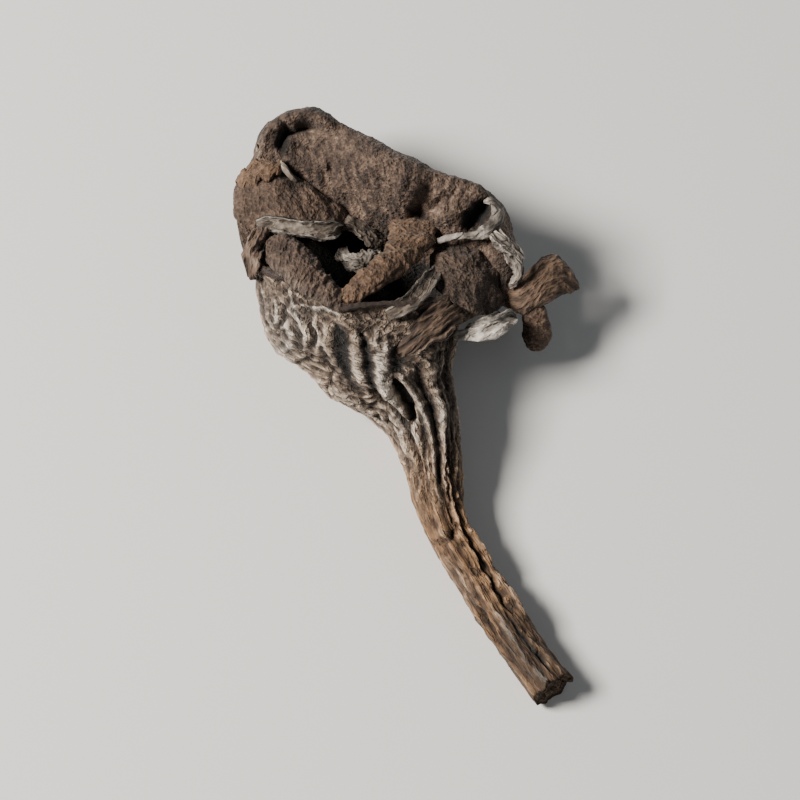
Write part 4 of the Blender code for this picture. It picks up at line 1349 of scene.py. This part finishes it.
LOBES = (
    Lobe("left_lobe", (
        (-6.0, 20.6, 9.2, 0.2, 0.5, 0.2, 0.2), (-8.5, 21.6, 10.7, -0.3, 2.0, -0.5, 0.7),
        (-10.9, 22.2, 11.6, -0.3, 3.0, -0.3, 1.0), (-13.5, 23.0, 12.2, -0.3, 3.8, 0.0, 1.1),
        (-16.1, 23.3, 12.1, -0.3, 3.6, 0.0, 1.0), (-18.3, 23.0, 11.2, -0.3, 3.0, 0.0, 0.7),
        (-19.3, 22.7, 10.2, 0.0, 1.6, 0.0, 0.3),
    ), roll_first=0.9, relief=0.34, grain_size=1.9, stretch=1.1, warm=0.15, seed=3, torn=0.05,
        painted_shade_and_dark=(0.1, 0.12, 0.25)),
    Lobe("hem", (
        (-16.9, 20.5, 12.4, 0.0, 0.5, 0.1, -0.1), (-15.8, 20.4, 13.1, 0.0, 0.9, 0.3, -0.5),
        (-13.9, 20.3, 13.5, 0.0, 0.9, 0.3, -0.6), (-11.7, 20.0, 13.3, 0.0, 0.9, 0.3, -0.6),
        (-9.8, 19.8, 12.9, 0.1, 1.0, 0.3, -0.5), (-8.2, 19.7, 12.0, 0.2, 1.0, 0.3, -0.3),
        (-7.2, 20.0, 11.0, 0.2, 0.5, 0.2, -0.1),
    ), roll_first=-1.2, roll_last=-1.0, thickness=0.4, relief=0.12, striated=0.6, pale=(1.0, 0.3, 1.0),
        painted_shade_and_dark=(0.0, 0.6, 0.0), lift=0.5, velvet=0, torn=0.1, seed=13),
    Lobe("lip_folds", (
        (-16.2, 19.7, 12.8, 0.8, 0.0, 0.3, 0.2), (-16.7, 18.3, 13.3, 1.0, -0.1, 0.4, 0.4),
        (-17.1, 16.7, 13.5, 1.0, -0.2, 0.5, 0.5), (-17.2, 15.3, 13.2, 0.8, -0.2, 0.5, 0.4),
        (-17.2, 14.2, 12.3, 0.4, -0.1, 0.4, 0.2),
    ), relief=0.45, striated=1.0, grain_size=0.8, stretch=5.0, thickness=0.5, seed=14,
        painted_shade_and_dark=(0.1, 0.2, 0.2), torn=0.25),
    Lobe("near_lip", (
        (-15.6, 17.6, 13.4, 0.1, 1.4, -0.6, 0.3), (-14.3, 17.2, 14.2, 0.3, 2.0, -0.9, 0.7),
        (-12.8, 16.4, 15.0, 0.7, 2.2, -1.3, 0.9), (-11.2, 15.0, 15.8, 1.0, 1.6, -1.4, 1.0),
        (-9.8, 13.5, 16.3, 0.9, 1.1, -1.1, 0.9), (-8.3, 12.2, 16.5, 0.7, 0.9, -0.8, 0.7),
        (-6.8, 11.0, 16.3, 0.4, 0.6, -0.4, 0.3),
    ), roll_first=0.6, roll_last=0.9, relief=0.34, striated=0.3, stretch=0.5, grain_size=1.5, seed=7,
        pale=(0.3, 0.0, 0.0), painted_shade_and_dark=(0.0, 0.1, 0.2), torn=0.1),
    Lobe("bridge", (
        (-7.4, 11.2, 16.2, 0.4, -0.6, 0.0, 0.2), (-6.1, 12.3, 16.4, 0.6, -0.9, 0.0, 0.5),
        (-4.7, 13.4, 16.4, 0.7, -1.0, 0.0, 0.7), (-3.1, 14.5, 16.1, 0.9, -1.1, 0.0, 0.7),
        (-1.6, 15.7, 15.4, 1.3, -1.1, -0.1, 0.7), (-0.4, 17.1, 14.4, 1.8, -0.7, -0.2, 0.6),
        (0.6, 18.6, 13.2, 2.4, -0.3, -0.2, 0.5), (0.8, 20.0, 12.2, 2.6, 0.0, -0.1, 0.3),
        (0.8, 21.6, 10.8, 2.3, 0.0, 0.0, 0.1),
    ), roll_first=0.4, roll_last=0.4, thickness=0.6, relief=0.36, striated=0.25, grain_size=1.5,
        stretch=1.3, warm=0.45, seed=2, painted_shade_and_dark=(0.12, 0.0, 0.2)),
    Lobe("grey_rim", (
        (-2.0, 9.9, 16.0, 0.3, -0.5, 0.0, 0.0), (-0.6, 10.7, 16.5, 0.6, -0.7, 0.0, -0.3),
        (0.8, 11.7, 16.4, 0.7, -0.6, 0.1, -0.4), (2.0, 13.1, 15.6, 0.8, -0.5, 0.1, -0.4),
        (3.0, 14.5, 14.2, 0.8, -0.3, 0.0, -0.3), (3.9, 15.8, 12.4, 0.5, -0.1, 0.0, 0.0),
    ), roll_first=-0.9, roll_last=-0.6, thickness=0.4, relief=0.1, striated=0.8, pale=(0.6, 0.3, 0.7),
        painted_shade_and_dark=(0.2, 0.45, 0.0), velvet=0, seed=8),
    Lobe("right_pad", (
        (2.8, 15.4, 11.6, 0.0, 1.6, -1.6, 0.2), (4.4, 15.1, 12.6, 0.0, 3.0, -1.9, 0.4),
        (6.6, 14.5, 12.6, 0.0, 3.9, -1.5, 0.5), (8.5, 14.0, 11.7, 0.0, 3.9, -1.1, 0.5),
        (10.1, 13.7, 10.2, 0.0, 3.3, -0.5, 0.3), (11.3, 13.5, 8.4, 0.0, 1.9, 0.0, 0.1),
    ), relief=0.3, grain_size=2.0, stretch=0.8, torn=0.08, seed=15, painted_shade_and_dark=(0.45, 0.35, 0.45), warm=0.08),
    Lobe("front_fold", (
        (-0.8, 5.8, 12.4, 0.4, -0.5, -0.1, 0.1), (0.5, 7.1, 13.6, 1.0, -1.1, -0.5, 0.3),
        (2.2, 8.7, 14.0, 1.5, -1.6, -1.0, 0.5), (4.1, 10.2, 13.9, 1.5, -1.6, -1.2, 0.5),
        (5.7, 11.5, 13.2, 0.9, -1.1, -0.8, 0.3),
    ), relief=0.24, striated=1.0, grain_size=1.0, stretch=5.0, roll_first=0.4, roll_last=-0.3, warm=0.15,
        seed=16, pale=(0.15, 0.0, 0.25), painted_shade_and_dark=(0.2, 0.35, 0.2), torn=0.12),
    Lobe("ear", (
        (3.5, 18.5, 12.2, 0.1, -0.2, 0.0, 0.1), (4.9, 18.9, 13.0, 0.0, -0.2, -0.1, 0.1),
        (6.5, 19.2, 13.5, 0.0, -0.2, -0.2, 0.2), (8.0, 19.3, 13.9, 0.1, -0.3, -0.3, 0.3),
        (9.3, 19.8, 14.3, 0.5, -0.5, -0.4, 0.4), (10.2, 20.9, 14.5, 0.6, -0.3, -0.6, 0.5),
        (10.3, 22.1, 14.7, 0.5, 0.2, -0.6, 0.4), (9.8, 22.9, 14.9, 0.2, 0.3, -0.4, 0.2),
        (8.8, 23.2, 14.7, 0.0, 0.3, -0.2, 0.1),
    ), roll_first=0.6, roll_last=0.8, thickness=0.4, relief=0.16, striated=0.7, pale=(0.8, 1.0, 1.0),
        lift=0.35, velvet=0, rows=150, columns=40, seed=1, torn=0.14),
    Lobe("frayed_upper", (
        (9.8, 19.5, 14.1, 0.5, 0.5, -0.2, 0.1), (10.9, 18.4, 13.8, 0.6, 0.6, -0.3, 0.3),
        (12.1, 17.5, 13.0, 0.6, 0.5, -0.3, 0.2), (13.2, 16.5, 12.0, 0.2, 0.1, 0.0, 0.0),
    ), relief=0.15, striated=1.0, grain_size=0.7, stretch=4.0, pale=(0.95, 0.85, 0.95), lift=0.2,
        velvet=0, torn=0.35, rows=80, columns=36, seed=9),
    Lobe("frayed_lower", (
        (10.9, 18.3, 13.2, 0.5, 0.2, 0.0, 0.1), (11.8, 16.9, 12.8, 0.6, 0.2, -0.2, 0.3),
        (12.6, 15.4, 12.0, 0.6, 0.0, -0.2, 0.3), (12.6, 14.2, 11.2, 0.5, -0.3, -0.1, 0.2),
        (11.8, 13.2, 10.4, 0.1, -0.1, 0.0, 0.0),
    ), relief=0.15, striated=1.0, grain_size=0.7, stretch=4.0, pale=(0.9, 0.8, 0.95), lift=0.2, velvet=0,
        torn=0.4, rows=80, columns=36, seed=17),
    Lobe("right_flap", (
        (10.6, 12.6, 8.4, 0.0, 1.1, 0.4, 0.2), (11.7, 12.5, 9.0, 0.0, 1.4, 0.5, 0.3),
        (12.9, 12.4, 9.4, 0.0, 2.0, 0.6, 0.4), (14.5, 13.3, 9.6, 0.0, 2.5, 0.6, 0.5),
        (15.9, 14.3, 9.5, 0.0, 2.8, 0.5, 0.5), (17.3, 14.6, 9.0, 0.0, 2.4, 0.4, 0.5),
        (18.6, 14.2, 8.2, 0.0, 1.4, 0.2, 0.3), (19.7, 13.5, 7.4, 0.0, 0.3, 0.1, 0.1),
    ), roll_first=1.0, relief=0.16, striated=0.8, grain_size=1.0, stretch=3.0, torn=0.05, warm=0.25,
        seed=4, pale=(0.3, 0.0, 0.05), painted_shade_and_dark=(0.0, 0.15, 0.1)),
    Lobe("hanging_lobe", (
        (14.3, 12.0, 8.8, 1.2, 0.0, 0.0, 0.2), (14.6, 10.4, 8.2, 1.4, 0.0, 0.0, 0.4),
        (14.8, 9.0, 7.2, 1.5, 0.0, 0.0, 0.5), (14.9, 7.7, 6.0, 1.6, 0.0, 0.0, 0.5),
        (14.9, 6.7, 5.0, 1.1, 0.0, 0.0, 0.3), (14.9, 6.2, 4.5, 0.4, 0.0, 0.0, 0.1),
    ), roll_first=0.6, roll_last=0.6, relief=0.16, torn=0.05, warm=0.2, seed=5, pale=(0.1, 0.0, 0.1)),
    Lobe("turned_edge", (
        (12.6, 10.0, 9.4, -0.1, 0.4, -0.3, 0.1), (11.3, 9.6, 10.2, -0.2, 1.1, -0.4, 0.3),
        (9.8, 9.0, 10.8, -0.2, 1.4, -0.5, 0.3), (8.2, 8.4, 11.0, -0.2, 1.1, -0.4, 0.3),
        (6.8, 7.9, 10.8, -0.1, 0.6, -0.2, 0.1), (5.5, 7.6, 10.2, 0.0, 0.2, 0.0, 0.0),
    ), roll_first=0.5, roll_last=0.5, relief=0.34, striated=0.9, grain_size=1.2, stretch=3.0, velvet=0,
        pale=(1.0, 1.0, 1.0), lift=0.75, torn=0.08, seed=6),
    Lobe("torn_tab", (
        (-19.2, 25.5, 11.0, 0.2, 0.4, 0.0, 0.1), (-18.1, 26.1, 12.2, 0.1, 1.3, 0.2, 0.3),
        (-16.7, 26.5, 13.2, 0.1, 1.5, 0.1, 0.4), (-15.4, 26.8, 13.6, 0.2, 1.3, 0.0, 0.4),
        (-14.0, 26.9, 13.2, 0.2, 0.7, 0.0, 0.2),
    ), torn=0.75, relief=0.22, striated=0.3, roll_first=0.2, warm=0.5, seed=10),
    Lobe("sliver", (
        (-14.6, 27.9, 13.4, 0.1, 0.1, 0.0, 0.0), (-13.9, 27.1, 13.6, 0.3, 0.2, 0.1, 0.1),
        (-13.1, 26.1, 13.2, 0.2, 0.2, 0.1, 0.1), (-12.4, 25.2, 12.2, 0.1, 0.1, 0.0, 0.0),
    ), velvet=0, pale=(0.7, 0.5, 0.8), thickness=0.3, rows=40, columns=20, seed=18, relief=0.04),
    Lobe("crinkle", (
        (-8.2, 20.6, 9.6, 0.2, 0.5, 0.0, 0.1), (-6.6, 20.5, 9.8, 0.2, 0.8, 0.0, 0.4),
        (-5.0, 19.7, 9.4, 0.3, 0.9, 0.0, 0.4), (-3.5, 18.7, 8.6, 0.4, 0.9, 0.0, 0.4),
        (-1.9, 17.8, 7.4, 0.4, 0.6, 0.0, 0.1),
    ), torn=0.35, relief=0.28, striated=0.5, grain_size=1.0, velvet=0, pale=(0.35, 0.3, 0.5),
        painted_shade_and_dark=(0.45, 0.4, 0.35), seed=11),
    Lobe("crumple", (
        (-7.7, 17.3, 8.0, 0.2, 0.5, 0.0, 0.1), (-6.6, 16.7, 8.6, 0.1, 0.9, 0.4, 0.5),
        (-5.4, 16.3, 8.8, 0.0, 1.0, 0.5, 0.6), (-3.9, 16.5, 8.4, -0.2, 0.9, 0.4, 0.5),
        (-2.7, 17.3, 7.6, -0.3, 0.5, 0.2, 0.2),
    ), torn=0.5, relief=0.38, striated=0.2, grain_size=0.9, velvet=0, pale=(0.8, 0.8, 0.7), lift=0.3,
        seed=12),
)


@dataclass
class Mushroom:
    """The whole mushroom: its skin, with the lobes of its margin."""

    finish: Flesh = field(default_factory=Flesh)
    skin: Skin = field(default_factory=Skin)
    lobes: tuple[Lobe, ...] = LOBES

    def build(self) -> list[bpy.types.Object]:
        """Makes every piece, dressed and riding on the mushroom's body.

        Returns:
            The pieces.
        """
        material = self.finish.material("dried_flesh")
        pieces = [self.skin.shape().make("skin", material)]
        pieces += [lobe.shape().make(lobe.name, material) for lobe in self.lobes]
        for piece in pieces:
            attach(piece, BODY)
            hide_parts(NODE)
            log.info("%s: %d faces", piece.name, len(piece.data.polygons))
        return pieces


@dataclass(frozen=True)
class Light:
    """A soft light: where it shines from, how far off and how wide it is, in metres, its watts."""

    name: str
    place: Viewpoint
    distance: float
    size: float
    power: float
    colour: Triple

    def add(self, middle: Vector) -> None:
        """Adds the light.

        Args:
            middle: Where it is aimed.
        """
        data = bpy.data.lights.new(self.name, "AREA")
        data.size, data.energy, data.color = self.size, self.power, self.colour
        light = bpy.data.objects.new(self.name, data)
        back = Vector(self.place.back())
        light.location = middle + back * self.distance
        light.rotation_mode = "QUATERNION"
        light.rotation_quaternion = (-back).to_track_quat("-Z", "Y")
        bpy.context.scene.collection.objects.link(light)


@dataclass
class Studio:
    """A plain pale floor, soft light and a camera at the photograph's angle."""

    middle: Triple = (-0.0063, 0.0002, 0.007)
    distance: float = 0.5
    lens: float = 200.0
    clip: Pair = (0.01, 10.0)
    floor_size: float = 3.0
    floor_colour: Triple = (0.62, 0.61, 0.59)
    floor_roughness: float = 0.9
    sky: Triple = (0.75, 0.78, 0.82)
    sky_strength: float = 0.16
    lights: tuple[Light, ...] = (
        Light("key", Viewpoint(-105.0, 46.0), 0.55, 0.17, 8.3, (1.0, 0.955, 0.90)),
        Light("fill", Viewpoint(60.0, 40.0), 0.8, 0.8, 0.9, (0.9, 0.95, 1.0)),
    )

    def build(self) -> None:
        """Sets the stage round the mushroom."""
        self._floor()
        for light in self.lights:
            light.add(Vector(self.middle))
        self._world()
        self._camera()

    def _floor(self) -> None:
        """The floor that the mushroom lies on."""
        bpy.ops.mesh.primitive_plane_add(size=self.floor_size)
        floor = bpy.context.object
        floor.name = "floor"
        material = bpy.data.materials.new("pale_floor")
        material.use_nodes = True
        inputs = {"Base Color": (*self.floor_colour, 1.0), "Roughness": self.floor_roughness}
        Recipe(material.node_tree).fill(material.node_tree.nodes["Principled BSDF"], inputs)
        floor.data.materials.append(material)

    def _world(self) -> None:
        """Weak light from all round."""
        world = bpy.data.worlds.new("studio")
        world.use_nodes = True
        inputs = {"Color": (*self.sky, 1.0), "Strength": self.sky_strength}
        Recipe(world.node_tree).fill(world.node_tree.nodes["Background"], inputs)
        bpy.context.scene.world = world

    def _camera(self) -> None:
        """The camera, looking down on the mushroom."""
        data = bpy.data.cameras.new("camera")
        data.lens = self.lens
        data.clip_start, data.clip_end = self.clip
        camera = bpy.data.objects.new("camera", data)
        right, up, back = (Vector(way) for way in (FRONT.right(), FRONT.up(), FRONT.back()))
        turned = Matrix((right, up, back)).transposed().to_quaternion()
        camera.matrix_world = Matrix.LocRotScale(Vector(self.middle) + back * self.distance, turned, None)
        bpy.context.scene.collection.objects.link(camera)
        bpy.context.scene.camera = camera


def main() -> None:
    """Builds the mushroom and its studio."""
    logging.basicConfig(level=logging.INFO, format="%(message)s")
    Mushroom().build()
    Studio().build()


if __name__ == "__main__":
    main()
